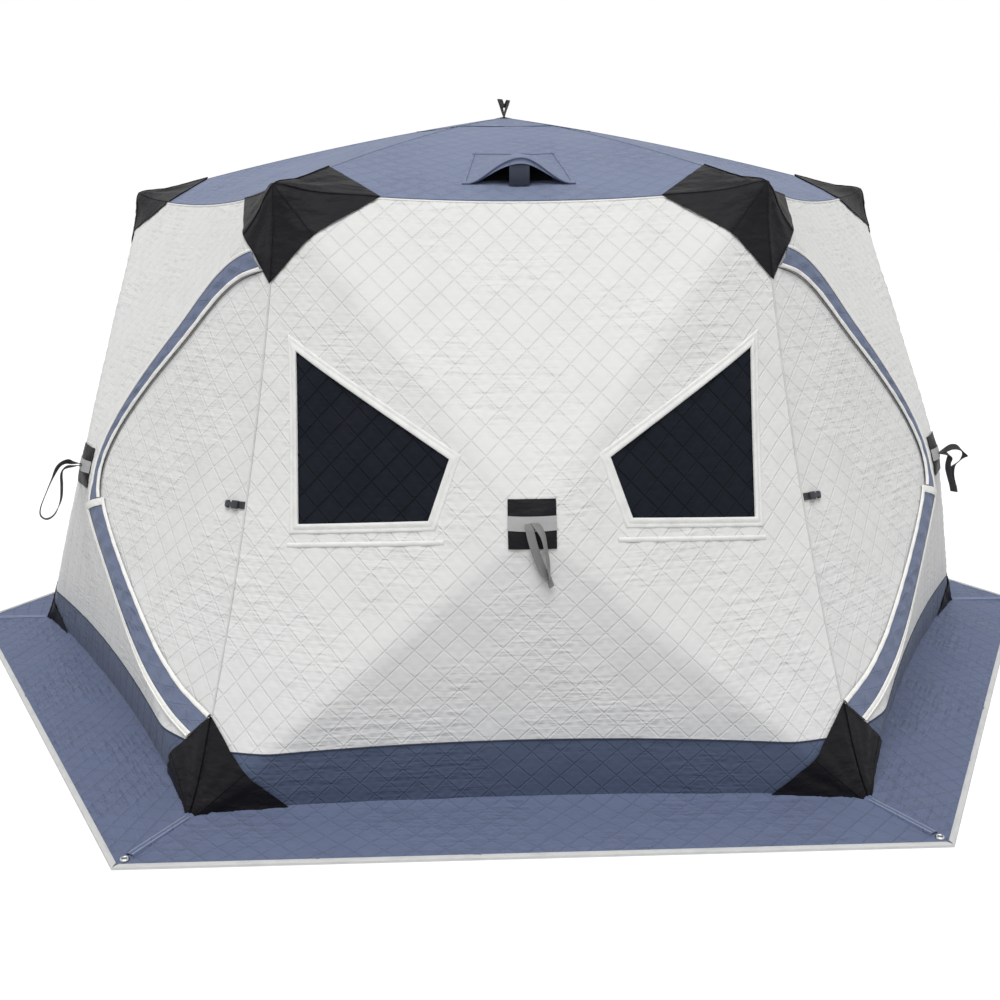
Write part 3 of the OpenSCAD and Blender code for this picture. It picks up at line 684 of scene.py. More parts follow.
REFLECTIVE = plain_fabric("reflective_grey", srgb(176, 176, 176), wrinkle=0.0003)
# Blue-grey for the vent hood's trim, and for the painted shadow line along the eaves.
TRIM_AND_SHADOW_BLUE = plain_fabric("trim_and_shadow_blue", srgb(98, 108, 134), wrinkle=0.0004)
INSIDE_BLACK = plain_fabric("vent_net", srgb(24, 27, 32), wrinkle=0.0005)
STRAP_BLUE = webbing_fabric("strap_blue", srgb(50, 58, 76))
WEBBING = webbing_fabric("webbing_grey", srgb(138, 138, 137))
WEBBING_DARK = webbing_fabric("webbing_black", srgb(40, 41, 44))
BUCKLE = moulded("buckle_plastic", srgb(38, 40, 46))
POLE = moulded("pole_fibre", srgb(30, 31, 33), rough=0.35, grain=0.0001, scale=60.0)
HUB_PLASTIC = moulded("hub_plastic", srgb(44, 45, 47))
METAL = moulded("eyelet_metal", srgb(196, 197, 198), rough=0.26, metallic=1.0, grain=0.0001)


# ---- Walls, bands and windows ----

def band_top():
    """Flat line of the band's top edge, left to right, a little higher in the middle."""
    t = np.linspace(-1, 1, 41)
    return np.column_stack([t * seam_x(BAND_H), BAND_H + BAND_RISE * (1 - t ** 2)])


BAND_RISE = 0.028


def wall_outline():
    return [*band_top(), (seam_x(EAVE_Z), EAVE_Z), (-seam_x(EAVE_Z), EAVE_Z)]


def window_loop(side, grow=0.0):
    """A window's flat outline, grown by grow."""
    points = np.array(WINDOW) * [side, 1]
    if side > 0:
        points = points[::-1]
    dirs = [unit(b - a) for a, b in zip(points, np.roll(points, -1, 0))]
    out = []
    for i, p in enumerate(points):
        before, after = dirs[i - 1], dirs[i]
        n0, n1 = np.array([before[1], -before[0]]), np.array([after[1], -after[0]])
        turn = 1 if area_sign(points) > 0 else -1
        out.append(p + turn * grow * (n0 + n1) / (1 + n0 @ n1))
    return flat_of(wall_at, np.array(out))


def area_sign(loop):
    x, y = loop[:, 0], loop[:, 1]
    return np.sum(x * np.roll(y, -1) - np.roll(x, -1) * y)


def ring(loop_in, loop_out, profile, thick):
    """A raised frame between two loops with the same corners."""
    a, b = [], []
    for i in range(len(loop_in)):
        j = (i + 1) % len(loop_in)
        n = max(2, math.ceil(np.linalg.norm(loop_out[j] - loop_out[i]) / FRAME_STEP))
        for t in np.arange(n) / n:
            a.append(loop_in[i] * (1 - t) + loop_in[j] * t)
            b.append(loop_out[i] * (1 - t) + loop_out[j] * t)
    a, b = np.array(a + a[:1]), np.array(b + b[:1])
    rows = [lifted(wall_at, a * (1 - t) + b * t, lift) for t, lift in profile]
    rows = np.array(rows)
    if area_sign(loop_in) > 0:
        rows = rows[::-1]
    return rows_cloth(rows, thick)


FRAME_W, FRAME_STEP = 0.027, 0.02
FRAME_PROFILE = [(0, -0.002), (0.02, 0.0035), (0.10, 0.0056), (0.25, 0.0062), (0.42, 0.0052), (0.56, 0.0032),
                 (0.62, 0.0026), (0.68, 0.0030), (0.90, 0.0034), (0.96, 0.0022), (1, -0.001)]


def window_wall():
    return cloth(wall_at, wall_outline(),
                 [window_loop(-1, 0.008), window_loop(1, 0.008)])


def window_panels():
    return joined([cloth(wall_at, window_loop(s, 0.010), lift=-0.004, puff=0.007, uneven=0.0014,
                         thick=0.004)
                   for s in (-1, 1)])


def window_frames():
    return joined([ring(window_loop(s), window_loop(s, FRAME_W), FRAME_PROFILE, 0.002)
                   for s in (-1, 1)])


def window_seams():
    """A tucked seam under each window."""
    parts = []
    for s in (-1, 1):
        ends = np.array([(s * 0.684, 0.742), (s * 0.238, 0.779)])
        q = spaced(flat_of(wall_at, ends), 60)
        rows = [lifted(wall_at, q + [0, up], rise) for up, rise in
                ((-0.007, 0.0005), (-0.004, 0.0030), (0.0, 0.0036), (0.003, 0.0030), (0.0045, 0.0))]
        parts.append(rows_cloth(np.array(rows) if s > 0 else np.array(rows)[:, ::-1], 0.0012))
    return joined(parts)


def band():
    outline = [(-seam_x(0.0), 0.0), (seam_x(0.0), 0.0), *band_top()[::-1]]
    return cloth(wall_at, outline, puff=PUFF * 0.8, uneven=0.0014)


def band_edge():
    return tube(lifted(wall_at, spaced(band_top(), 80), 0.001), 0.0022, sides=6)


def wall_pieces():
    seams = make("corner_seam_piping", all_round(corner_piping()), SEAM_GREY)
    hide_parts("door_hinge_seams")
    band_edges = make("band_top_edges", all_round(band_edge()), DARK_EDGE)
    with_windows, plain = window_wall(), cloth(wall_at, wall_outline())
    with_door, one_band, one_skirt = door_wall(), band(), skirt_panel()
    for k, name in enumerate(PANELS):
        if k in (0, 3):
            part = turned(with_windows, k)
        elif k == 1:
            part = turned(with_door, 1)
        elif k == 5:
            part = mirrored(turned(with_door, 1))
        else:
            part = turned(plain, k)
        wall = make(name + "_wall_cloth", part, WHITE)
        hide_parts(name + "_wall")
        declare(part)
        part = turned(one_band, k)
        foot = make(name + "_band_cloth", part, BAND)
        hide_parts(name + "_base_band")
        declare(part)
        part = turned(one_skirt, k)
        skirt = make(name + "_skirt_cloth", part, SKIRT)
        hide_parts(name + "_skirt")
        declare(part)
    part = front_and_back(window_panels())
    covers = make("window_covers_cloth", part, WINDOW_BLACK)
    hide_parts("window_covers")
    frames = make("window_frames", front_and_back(window_frames()), FRAME_WHITE)
    tucks = make("window_tucks", front_and_back(window_seams()), FRAME_WHITE)
    declare(part)


# ---- Snow skirt ----

SKIRT_R = BASE_R + SKIRT_W / COS30
EYELET_R = SKIRT_R - EYELET_INSET  # from the hut's middle
EYELET_HOLE = 0.0058


def skirt_outline():
    """One panel, notched round half of each corner's eyelet."""
    inner = [(x, ground_foot(x)) for x in np.linspace(-GROUND[1][0], GROUND[1][0], 41)]
    corner_xy, mitre = SKIRT_R * np.array([0.5, -COS30]), np.array([0.5, -COS30])
    notch = [EYELET_R * mitre - EYELET_HOLE * (math.cos(t) * mitre + math.sin(t) * np.array([COS30, 0.5]))
             for t in np.linspace(math.pi, 0, 9)]
    left = [p * [-1, 1] for p in notch[::-1]]
    return [*left, (-corner_xy[0], corner_xy[1]), (corner_xy[0], corner_xy[1]), *notch] + inner[::-1]


def skirt_panel():
    return cloth(ground_at, skirt_outline(), lift=0.003, puff=PUFF, uneven=0.0022, thick=0.003)


def skirt_trim():
    """Pale binding along the outer edge, and the double stitched mitre seams."""
    c = SKIRT_R * np.array([0.5, -COS30])
    x = np.linspace(-c[0], c[0], 90)
    rows = []
    for inset, lift in ((-0.001, 0.001), (0.0, 0.0062), (0.008, 0.0082), (0.015, 0.0078), (0.0165, 0.0045)):
        rows.append([(v * (1 - inset / c[0]), c[1] + inset * COS30 * 1.1547, 0.001 + lift) for v in x])
    edge = rows_cloth(rows, 0.0015)
    inner = GROUND[1][:2]
    seams = []
    for side in (-0.007, 0.007):
        across = side * np.array([COS30, 0.5])
        line = spaced([inner + 0.02 * unit(inner), unit(c) * (EYELET_R - 0.020)], 24) + across
        seams.append(tube(np.column_stack([line, np.full(24, 0.0125)]), 0.0018, sides=6))
    rib = spaced([inner + 0.01 * unit(inner), unit(c) * (EYELET_R - 0.018)], 24)
    ridge = []
    for off, lift in ((-0.014, 0.004), (-0.010, 0.0115), (0.0, 0.0120), (0.010, 0.0115), (0.014, 0.004)):
        ridge.append([(*(p + off * np.array([COS30, 0.5])), lift) for p in rib])
    return edge, joined(seams), rows_cloth(ridge[::-1], 0.0015)


def eyelet_ring():
    """Pressed metal eyelet: a rolled rim over the cloth and a collar through it."""
    middle = EYELET_R * np.array([0.5, -COS30])
    rows = []
    for r, z in ((0.0056, 0.0005), (0.0056, 0.0085), (0.0062, 0.0108), (0.0080, 0.0122), (0.0105, 0.0118),
                 (0.0124, 0.0100), (0.0130, 0.0075)):
        rows.append([(middle[0] + r * math.cos(a), middle[1] + r * math.sin(a), z)
                     for a in np.linspace(0, 2 * math.pi, 33)])
    return rows_cloth(np.array(rows)[::-1], 0.0009)


def skirt_pieces():
    edge, seams, ridge = (all_round(p) for p in skirt_trim())
    piece = make("skirt_binding", edge, BINDING)
    declare(edge)
    stitching = make("skirt_seam_stitching", seams, SEAM_BLUE)
    piece = make("skirt_mitre_tapes", ridge, SKIRT)
    declare(ridge)
    eyelet = make("skirt_eyelet_rings", all_round(eyelet_ring()), METAL, crease=60)
    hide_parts("skirt_eyelets")


# ---- Doors, in the flat facet between the corner seam and the hub ----
# Facet points are (across from the seam, up the seam), from the ground corner.

SEAM_UP = unit(EAVE[-1] - GROUND[-1])
SEAM_LEN = np.linalg.norm(EAVE[-1] - GROUND[-1])
TO_HUB = HUB - GROUND[-1]
ACROSS = unit(TO_HUB - (TO_HUB @ SEAM_UP) * SEAM_UP)
FACET_HUB = np.array([TO_HUB @ ACROSS, TO_HUB @ SEAM_UP])
FACET_EAVE = np.array([0, SEAM_LEN])


def door_flat(f):
    """Flat wall points of facet points."""
    f = np.asarray(f, float)
    p = GROUND[-1] + np.outer(f[:, 0], ACROSS) + np.outer(f[:, 1], SEAM_UP)
    return p[:, [0, 2]]


ZIP = [  # the zip's curve in the facet, from its foot to its head
    (-0.030, 0.249), (0.0, 0.262), (0.075, 0.292), (0.153, 0.331), (0.273, 0.410), (0.415, 0.528),
    (0.558, 0.660), (0.648, 0.755), (0.698, 0.825), (0.716, 0.893), (0.700, 0.970), (0.631, 1.076),
    (0.506, 1.206), (0.339, 1.352), (0.245, 1.440), (0.177, 1.497), (0.105, 1.537), (0.0, 1.560),
    (-0.030, 1.562),
]


def beside(path, grow):
    """A facet path moved sideways, outwards from the door."""
    ahead = np.gradient(path, axis=0)
    ahead /= np.linalg.norm(ahead, axis=1)[:, None]
    return path + np.column_stack([ahead[:, 1] * grow, -ahead[:, 0] * grow])


def door_path(grow):
    """Along the zip from the door's foot to its head, grown outwards by grow."""
    return beside(curve_through(ZIP, 240), grow)


def cap_lines(grow):
    """Edges of the two corner caps on the facet, as (point, outward normal)."""
    foot_tip = np.array([0, FOOT_SEAM + 2 * grow])
    foot_pole = (FOOT_POLE + grow) * unit(FACET_HUB)
    head_tip = np.array([0, SEAM_LEN - CAP_SEAM - 2 * grow])
    head_pole = FACET_EAVE + (CAP_POLE + grow) * unit(FACET_HUB - FACET_EAVE)
    out = []
    for tip, pole, sign in ((foot_tip, foot_pole, 1), (head_tip, head_pole, -1)):
        d = unit(pole - tip)
        n = np.array([-d[1], d[0]])
        out.append((tip, n if n[1] * sign > 0 else -n))
    return out


def clipped(path, point, normal):
    """The part of a path on the normal's side of a line, cut where it crosses."""
    side = (path - point) @ normal
    out = []
    for i in range(len(path)):
        if side[i] >= 0:
            out.append(path[i])
        if i + 1 < len(path) and (side[i] < 0) != (side[i + 1] < 0):
            t = side[i] / (side[i] - side[i + 1])
            out.append(path[i] + t * (path[i + 1] - path[i]))
    return np.array(out)


def door_edge(grow, clear):
    """The door's edge from its foot on the seam to its head, clear of the caps."""
    path = resample(door_path(grow), 0.03)
    path = path[path[:, 0] > 0.004]
    tips = cap_lines(clear)
    for point, normal in tips:
        path = clipped(path, point, normal)
    return np.concatenate([[tips[0][0]], path, [tips[1][0]]])


def door_wall():
    """Wall cloth round the doorway in its left facet."""
    edge = door_flat(door_edge(ZIP_GAP, 0.0))
    return cloth(wall_at, np.concatenate([wall_outline(), edge[::-1]]))


def door_panel():
    return cloth(wall_at, door_flat(door_edge(0.0, ZIP_GAP)))


FLAP_END = np.array([0.700, FACET_HUB[1] - FLAP_MEET_DROP])
FLAP_END_DIR = unit([-0.245, -0.97])  # the flaps' ends slope a little
UPPER_WIDTHS = [(0.82, 0.080), (0.88, 0.046), (0.95, 0.042), (1.07, 0.046), (1.25, 0.058), (1.56, 0.076)]
LOWER_WIDTHS = [(0.26, 0.078), (0.45, 0.080), (0.66, 0.088), (0.83, 0.108)]
LINES, LINE_POINTS = 9, 130  # lines along a flap, and points on each


def flap(grow_in, widths, upper, lift):
    """Storm flap along the zip, widths = (height up the facet, width) along it, as rows of points."""
    cap_point, cap_normal = cap_lines(0.0015)[1 if upper else 0]
    end, end_normal = FLAP_END, -FLAP_END_DIR
    if not upper:
        end, end_normal = FLAP_END + ZIP_GAP * FLAP_END_DIR, FLAP_END_DIR
    base = curve_through(ZIP, 400)
    wide = np.interp(base[:, 1], *np.array(widths).T)
    paths = []
    for t in np.linspace(0, 1, LINES):
        path = beside(base, grow_in + t * (wide - grow_in))
        path = clipped(path, cap_point, cap_normal)
        path = clipped(path, end, end_normal)
        paths.append(spaced(path[path[:, 0] > 0.004], LINE_POINTS))
    run, rows = np.linspace(0, 1, LINE_POINTS), []
    for path, t in zip(paths, np.linspace(0, 1, LINES)):
        crease = 0.0018 * np.sin(run * 95 + 3 * t) + 0.0018 * np.sin(run * 41 - 5 * t + 1)
        rise = lift[0] * (1 - t) + lift[1] * t + 0.003 * math.sin(math.pi * t) ** 0.8
        rows.append(lifted(wall_at, door_flat(path), rise + crease * math.sin(math.pi * min(1, t * 1.15))))
    rows = np.array(rows)
    return rows_cloth(rows[::-1], 0.0016), rows


BINDING_LIFT, END_BINDING_W = 0.0014, 0.022


def flap_bindings(rows, in_w, out_w):
    """Flat bindings along both long edges of a flap."""
    parts = []
    for outer, edge, inward, width in ((False, rows[0], rows[1], in_w), (True, rows[-1], rows[-2], out_w)):
        d = inward - edge
        d /= np.linalg.norm(d, axis=1)[:, None]
        ahead = np.gradient(edge, axis=0)
        up = np.cross(d, ahead)
        up /= np.linalg.norm(up, axis=1)[:, None]
        up *= np.sign((up @ (HUB * [0, 1, 0])).mean() or 1)
        shape = [(-0.002, -0.002), (-0.0016, 0.001), (0.15 * width, 0.002), (0.5 * width, 0.0026),
                 (0.85 * width, 0.002), (width, 0.0002)]
        lines = np.array([edge + a * d + (b + BINDING_LIFT) * up for a, b in shape])
        parts.append(rows_cloth(lines if outer else lines[::-1], 0.0012))
        if outer:
            parts.append(tube(edge + 0.0016 * up, 0.0040))
    return joined(parts)


def end_binding(rows):
    """Stitched band across a flap's end."""
    a, b, width = rows[:, -1], rows[:, -4], END_BINDING_W
    d = b - a
    d /= np.linalg.norm(d, axis=1)[:, None]
    up = np.cross(np.gradient(a, axis=0), d)
    up /= np.linalg.norm(up, axis=1)[:, None]
    up *= np.sign((up @ (HUB * [0, 1, 0])).mean() or 1)
    lines = [a + s * d + (h + 0.0016) * up for s, h in
             ((-0.002, -0.003), (-0.001, 0.001), (0.3 * width, 0.0022), (0.5 * width, 0.0012),
              (0.7 * width, 0.0022), (width, 0.0))]
    return rows_cloth(np.array(lines), 0.0012)


def bend_with(obj):
    """Bakes the piece's placement into its points."""
    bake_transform(obj)


BUCKLE_DROP = 0.055  # below the hub's height
BUCKLE_RINGS = [  # distance from the seam, half width, height
    (0.026, 0.0, 0.002), (0.026, 0.010, 0.003), (0.027, 0.0115, 0.008), (0.034, 0.012, 0.0105),
    (0.046, 0.012, 0.0112), (0.048, 0.0065, 0.0106), (0.060, 0.0065, 0.0106), (0.062, 0.0115, 0.0108),
    (0.070, 0.0105, 0.0095), (0.075, 0.008, 0.006), (0.075, 0.0, 0.003),
]


def buckle_parts():
    """Side release buckle and its tape, lying on the door beside the seam at mid height."""
    y = FACET_HUB[1] - BUCKLE_DROP
    tape = []
    for off in np.linspace(-0.0105, 0.0105, 5):
        q = door_flat([(x, y + off) for x in np.linspace(0.003, 0.034, 9)])
        tape.append(lifted(wall_at, q, 0.0035))
    body = []
    for x, w, h in BUCKLE_RINGS:
        line = []
        for t in np.linspace(0, 2 * math.pi, 20, endpoint=False):
            c, s = math.cos(t), math.sin(t)
            cy = w * np.sign(c) * abs(c) ** 0.5
            cz = 0.0026 + (h / 2) * (1 + np.sign(s) * abs(s) ** 0.5)
            q = door_flat([(x, y + cy)])
            line.append(lifted(wall_at, q, cz)[0])
        body.append(line)
    body = np.array(body)
    n, m = body.shape[:2]
    i = np.arange(n * m).reshape(n, m)
    faces = []
    for r in range(n - 1):
        for c in range(m):
            a, b, d, e = i[r, c], i[r, (c + 1) % m], i[r + 1, (c + 1) % m], i[r + 1, c]
            faces += [(a, b, d), (a, d, e)]
    points = body.reshape(-1, 3)
    flat = np.stack([np.repeat(np.arange(n), m) * 0.005, np.tile(np.arange(m), n) * 0.002], 1)
    solid = {"points": points, "faces": np.array(faces), "flat": flat, "area": 0.002,
             "spread": np.array([0.05, 0.024])}
    return rows_cloth(np.array(tape), 0.002), solid


def door_pieces():
    panel = turned(door_panel(), 1)
    low_flap, low_rows = flap(-0.014, LOWER_WIDTHS, False, (0.0060, 0.0085))
    up_flap, up_rows = flap(ZIP_GAP, UPPER_WIDTHS, True, (0.0095, 0.0080))
    low_flap, up_flap = turned(low_flap, 1), turned(up_flap, 1)
    low_trim = turned(joined([flap_bindings(low_rows, 0.011, 0.019), end_binding(low_rows)]), 1)
    up_trim = turned(flap_bindings(up_rows, 0.010, 0.006), 1)
    tape, clip = (turned(p, 1) for p in buckle_parts())
    uppers, upper_trims = [], []
    for side, name in ((1, "right"), (-1, "left")):
        def sided(p):
            return p if side > 0 else mirrored(p)
        door = make(name + "_door_cloth", sided(panel), WHITE, body=None)
        bend_with(door)
        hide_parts(name + "_door_panel")
        declare(sided(panel))
        binding = make(name + "_door_lower_flap_binding", sided(low_trim), PIPING, body=None)
        bend_with(binding)
        piece = make(name + "_door_lower_flap_cloth", sided(low_flap), FLAP, body=None)
        bend_with(piece)
        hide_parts(name + "_door_lower_flap")
        declare(sided(low_flap))
        piece = make(name + "_door_buckle_body", sided(clip), BUCKLE, body=name + "_door",
                     crease=35)
        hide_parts(name + "_door_buckle")
        piece = make(name + "_door_buckle_tape", sided(tape), WEBBING_DARK, body=None)
        bend_with(piece)
        declare(sided(tape))
        uppers.append(sided(up_flap))
        upper_trims.append(sided(up_trim))
    piece = make("door_upper_flaps_cloth", joined(uppers), FLAP)
    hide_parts("door_upper_flaps")
    trim = make("door_upper_flap_piping", joined(upper_trims), PIPING)
    declare(joined(uppers))


# ---- Corner seams, eaves and roof ----

def seam_path(low, high):
    """The right corner seam between two heights."""
    return wall_raw(np.array([(seam_x(z), z) for z in np.linspace(low, high, 60)]))


def corner_piping():
    low = FOOT_SEAM * EAVE_Z / SEAM_LEN - 0.01
    high = EAVE_Z - CAP_SEAM * EAVE_Z / SEAM_LEN + 0.01
    return tube(seam_path(low, high) - 0.001 * np.array([-0.5, COS30, 0]), 0.0030)


EAVE_OUT = np.array([0, -0.88, 0.48])  # outwards and a little up


def eave_path(lift, drop):
    """The front eave between its caps, moved out by lift and down by drop."""
    x = np.linspace(-EAVE[1][0] + CAP_EAVE - 0.01, EAVE[1][0] - CAP_EAVE + 0.01, 70)
    path = roof_at(np.column_stack([x, np.full(len(x), EAVE[1][1])]))
    return path + lift * EAVE_OUT - [0, 0, drop]


def on_slope(x, up):
    """Flat roof point across and up the slope from the eave."""
    slope = math.atan2(PEAK_Z - EAVE_Z + EAVE_SAG, EAVE_R * COS30 - EAVE_PULL)
    return (x, EAVE[1][1] + EAVE_PULL + up * math.cos(slope))


def roof_outline():
    return [(EAVE[-1][0], EAVE[-1][1]), (EAVE[1][0], EAVE[1][1]), (0, 0)]


def vent_hole():
    low, half = VENT_UP + VENT_HOLE_UP, VENT_HOLE_W / 2
    high = low + VENT_HOLE_LEN
    return [on_slope(x, y) for x, y in ((-half, low), (half, low), (half, high), (-half, high))]


HOOD_SLOPES = 33


def hood():
    """Vent hood: a soft arch whose sides and back are sewn flat to the roof."""
    rows, seams = [], []
    for v in np.linspace(0, 1, 15):
        half = (VENT_W * (1 - v) + VENT_BACK_W * v) / 2
        x = np.linspace(-1, 1, HOOD_SLOPES)
        bell = (0.5 + 0.5 * np.cos(np.pi * np.clip(abs(x) * 1.09, 0, 1))) ** 0.85
        rise = 0.003 + (VENT_H - 0.002) * bell * (1 - smooth(v * 1.02)) ** 1.1
        rise += 0.0012 * np.sin(9 * x + 7 * v) * bell
        q = np.array([on_slope(s * half, VENT_UP + v * VENT_LEN) for s in x])
        rows.append(lifted(roof_at, q, rise))
    rows = np.array(rows)
    bell = (rows[0][:, 2] - rows[0][:, 2].min()) / np.ptp(rows[0][:, 2])
    hem = [rows[0] - np.outer(bell, [0, 0.5 * f * 0.004, f * 0.017]) + [0, 0.002 * math.sin(3 * f), 0]
           for f in np.linspace(1, 0, 5)]
    edge = tube(rows[0] + [0, 0, -0.0005], 0.0024, sides=6)
    for line in (rows[1:, 1], rows[1:, -2], rows[-2]):
        seams.append(tube(line + [0, 0, 0.0012], 0.0010, sides=6))
    return joined([rows_cloth(rows, 0.0018), rows_cloth(np.array(hem), 0.0018)]), joined([edge] + seams)


def vent_strap():
    """Wide strap that props the hood open."""
    rows = []
    for v in np.linspace(0, 1, 9):
        line = []
        for x in np.linspace(-0.5, 0.5, 7):
            q = [on_slope(x * 0.062, VENT_UP - 0.016 + 0.018 * v - 0.006 * math.sin(math.pi * v))]
            line.append(lifted(roof_at, q, 0.003 + v * (VENT_H - 0.008) + 0.001 * math.sin(8 * v + 5 * x))[0])
        rows.append(line)
    return rows_cloth(np.array(rows), 0.0022)


def vent_net():
    half, low = VENT_HOLE_W / 2 + 0.01, VENT_UP + VENT_HOLE_UP - 0.01
    high = low + VENT_HOLE_LEN + 0.02
    rows = [[lifted(roof_at, [on_slope(x, y)], -0.004)[0] for x in np.linspace(-half, half, 9)]
            for y in np.linspace(low, high, 9)]
    return rows_cloth(np.array(rows), 0.001)


PEAK_SEAM = 0.24


def peak_seam():
    y = EAVE[1][1] * PEAK_SEAM
    x = np.linspace(-EAVE[1][0], EAVE[1][0], 24) * PEAK_SEAM
    return tube(lifted(roof_at, np.column_stack([x, np.full(24, y)]), 0.0018), 0.0013, sides=6)


def ridge_seam():
    t = np.linspace(0.02, 1 - CAP_RIDGE / np.linalg.norm(EAVE[1] - PEAK), 60)
    return tube(roof_at(np.outer(t, EAVE[1][:2])) + [0, 0, 0.0004], 0.0012, sides=6)


def roof_pieces():
    vented = cloth(roof_at, roof_outline(), [vent_hole()], puff=0.0008, uneven=0.0014)
    plain = cloth(roof_at, roof_outline(), puff=0.0008, uneven=0.0014)
    seams = [
        make("eave_piping", all_round(tube(eave_path(0.0015, 0.0035), 0.0034)), PIPING),
        # A thin blue-grey tube just above the eave piping, at the foot of the roof: a painted shadow line.
        make("eave_painted_shadow_line", all_round(tube(eave_path(0.001, -0.0022), 0.0013, sides=6)), TRIM_AND_SHADOW_BLUE),
        make("peak_seam_stitching", all_round(peak_seam()), DARK_EDGE),
        make("ridge_seams", all_round(ridge_seam()), ROOF),
    ]
    for k, name in enumerate(PANELS):
        part = turned(vented if k % 3 == 0 else plain, k)
        piece = make(name + "_roof_cloth", part, ROOF)
        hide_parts(name + "_roof_panel")
        declare(part)
    cover, trim = (front_and_back(p) for p in hood())
    piece = make("vent_hood_cloth", cover, ROOF)
    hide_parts("vent_hoods")
    edging = make("vent_hood_trim", trim, TRIM_AND_SHADOW_BLUE)
    declare(cover)
    strap = front_and_back(vent_strap())
    piece = make("vent_prop_straps", strap, STRAP_BLUE)
    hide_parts("vent_props")
    declare(strap)
    net = front_and_back(vent_net())
    piece = make("vent_net_panels", net, INSIDE_BLACK)
    declare(net)


# ---- Corner caps: over two walls and two roof panels at the eave, over two walls at the ground ----

CAP_STEP, CAP_WELD = 0.012, 2e-4
CAP_OVER = 0.008  # how far an eave cap passes its edge in the frame


def softened(path):
    """The path with its middle corners cut round."""
    if len(path) < 3:
        return path
    for _ in range(2):
        out = []
        for a, b in zip(path, path[1:]):
            out += [a * 0.78 + b * 0.22, a * 0.22 + b * 0.78]
        path = np.array([path[0]] + out[1:-1] + [path[-1]])
    return path


def cap_region(surface, corner_q, tips):
    """One panel's share of a cap, between two of its edges."""
    edge = softened([np.array(t, float) for t in tips])
    flat, tris, _ = cut([corner_q, *edge], step=CAP_STEP)
    return surface(flat), tris, flat - corner_q


def weld(regions):
    """Regions joined where their edges meet."""
    start, points, faces, flats = 0, [], [], []
    for p, f, q in regions:
        points.append(p)
        faces.append(f + start)
        flats.append(q)
        start += len(p)
    points, faces, flats = np.concatenate(points), np.concatenate(faces), np.concatenate(flats)
    key = {}
    first = np.arange(len(points))
    for i, p in enumerate(np.round(points / CAP_WELD).astype(int)):
        for shift in ((0, 0, 0), (1, 0, 0), (-1, 0, 0), (0, 1, 0), (0, -1, 0), (0, 0, 1), (0, 0, -1)):
            found = key.get(tuple(p + shift))
            if found is not None:
                first[i] = found
                break
        else:
            key[tuple(p)] = i
    used = np.unique(first)
    where = np.zeros(len(points), int)
    where[used] = np.arange(len(used))
    faces = where[first[faces]]
    keep = (faces[:, 0] != faces[:, 1]) & (faces[:, 1] != faces[:, 2]) & (faces[:, 0] != faces[:, 2])
    return points[used], faces[keep], flats[used]


def towards(a, b, length):
    """The point at that distance from a on the way to b."""
    return a + (b - a) * length / np.linalg.norm(b - a)


def shell(regions, corner_point, lift, thick, folds, bulge, lines):
    """A cap: regions welded, raised, creased in folds from the corner, with seams along lines."""
    points, faces, flats = weld(regions)
    normals = point_normals(points, faces)
    away = points - corner_point
    r = np.linalg.norm(away, axis=1)
    axis = unit(corner_point * [1, 1, 0])
    side, up = np.cross([0, 0, 1], axis), np.array([0, 0, 1])
    angle = np.arctan2(away @ up, away @ side)
    wave = np.sin(angle * 11 + 6 * r) * 0.6 + np.sin(angle * 23 + 2 - 9 * r) * 0.4
    rise = lift + folds * wave * smooth(r / 0.05) * (1 - smooth((r - 0.10) / 0.20))
    rise = np.maximum(rise, 0.0026) + bulge * np.exp(-(r / 0.075) ** 2)
    outer = points + rise[:, None] * normals
    seams = []
    for line in lines:
        path = []
        for p in line:
            near = np.exp(-(np.linalg.norm(points - p, axis=1) / 0.012) ** 2)
            near /= near.sum()
            path.append(p + (near @ rise + 0.0004) * unit(near @ normals))
        path = np.array(path)
        path[:, 2] = np.maximum(path[:, 2], 0.004)
        seams.append(tube(path, 0.0020, sides=6))
    inner = outer - thick * normals
    outer[:, 2] = np.maximum(outer[:, 2], 0.0030)
    inner[:, 2] = np.maximum(inner[:, 2], 0.0010)
    return layered(outer, inner, faces, flats), joined(seams)


def eave_cap():
    """Cap of the front wall's right eave corner, and its seams."""
    e = EAVE[1]
    q = np.array([e[0], e[2]])
    eave_x = e[0] - CAP_EAVE - CAP_OVER
    tip_eave = (eave_x, EAVE_Z)
    tip_pole = towards(e, HUB, CAP_POLE)[[0, 2]]
    tip_seam = towards(e, GROUND[1], CAP_SEAM)[[0, 2]]
    wall = cap_region(wall_at, q, [tip_seam, tip_pole, tip_eave])
    ridge = towards(e, PEAK, CAP_RIDGE)[:2]
    roof = cap_region(roof_at, e[:2], [ridge, (eave_x, e[1])])
    lines = [wall_at(spaced([q, tip_eave], 30)), wall_at(spaced([q, tip_pole], 20)),
             roof_at(spaced([e[:2], ridge], 30)), wall_at(spaced([q, tip_seam], 30))]
    return cap_pair([wall, roof], e, 0.0056, 0.0036, 0.016, lines)


def ground_cap():
    """Cap of the front wall's right ground corner, and its seams."""
    g = GROUND[1]
    q = np.array([g[0], g[2]])
    seam = towards(g, EAVE[1], FOOT_SEAM)[[0, 2]]
    pole = towards(g, HUB, FOOT_POLE)[[0, 2]]
    base = np.array([g[0] - FOOT_BASE - 0.022, 0.0])
    wall = cap_region(wall_at, q, [seam, pole, base])
    lines = [wall_at(spaced([q, seam], 30)), wall_at(spaced([q, pole], 20))]
    return cap_pair([wall], g, 0.0066, 0.0060, 0.008, lines)


def cap_pair(half, corner_point, lift, folds, bulge, lines):
    """Both panels' sides of a cap; the second is the first mirrored over the corner."""
    across = np.array([-COS30, -0.5, 0])

    def other(p):
        return p - 2 * np.outer(p @ across, across)

    regions = [(p, f, q) for p, f, q in half] + [(other(p), f[:, ::-1], q * [-1, 1]) for p, f, q in half]
    return shell(regions, corner_point, lift, 0.0018, folds, bulge, lines + [other(p) for p in lines[:2]])


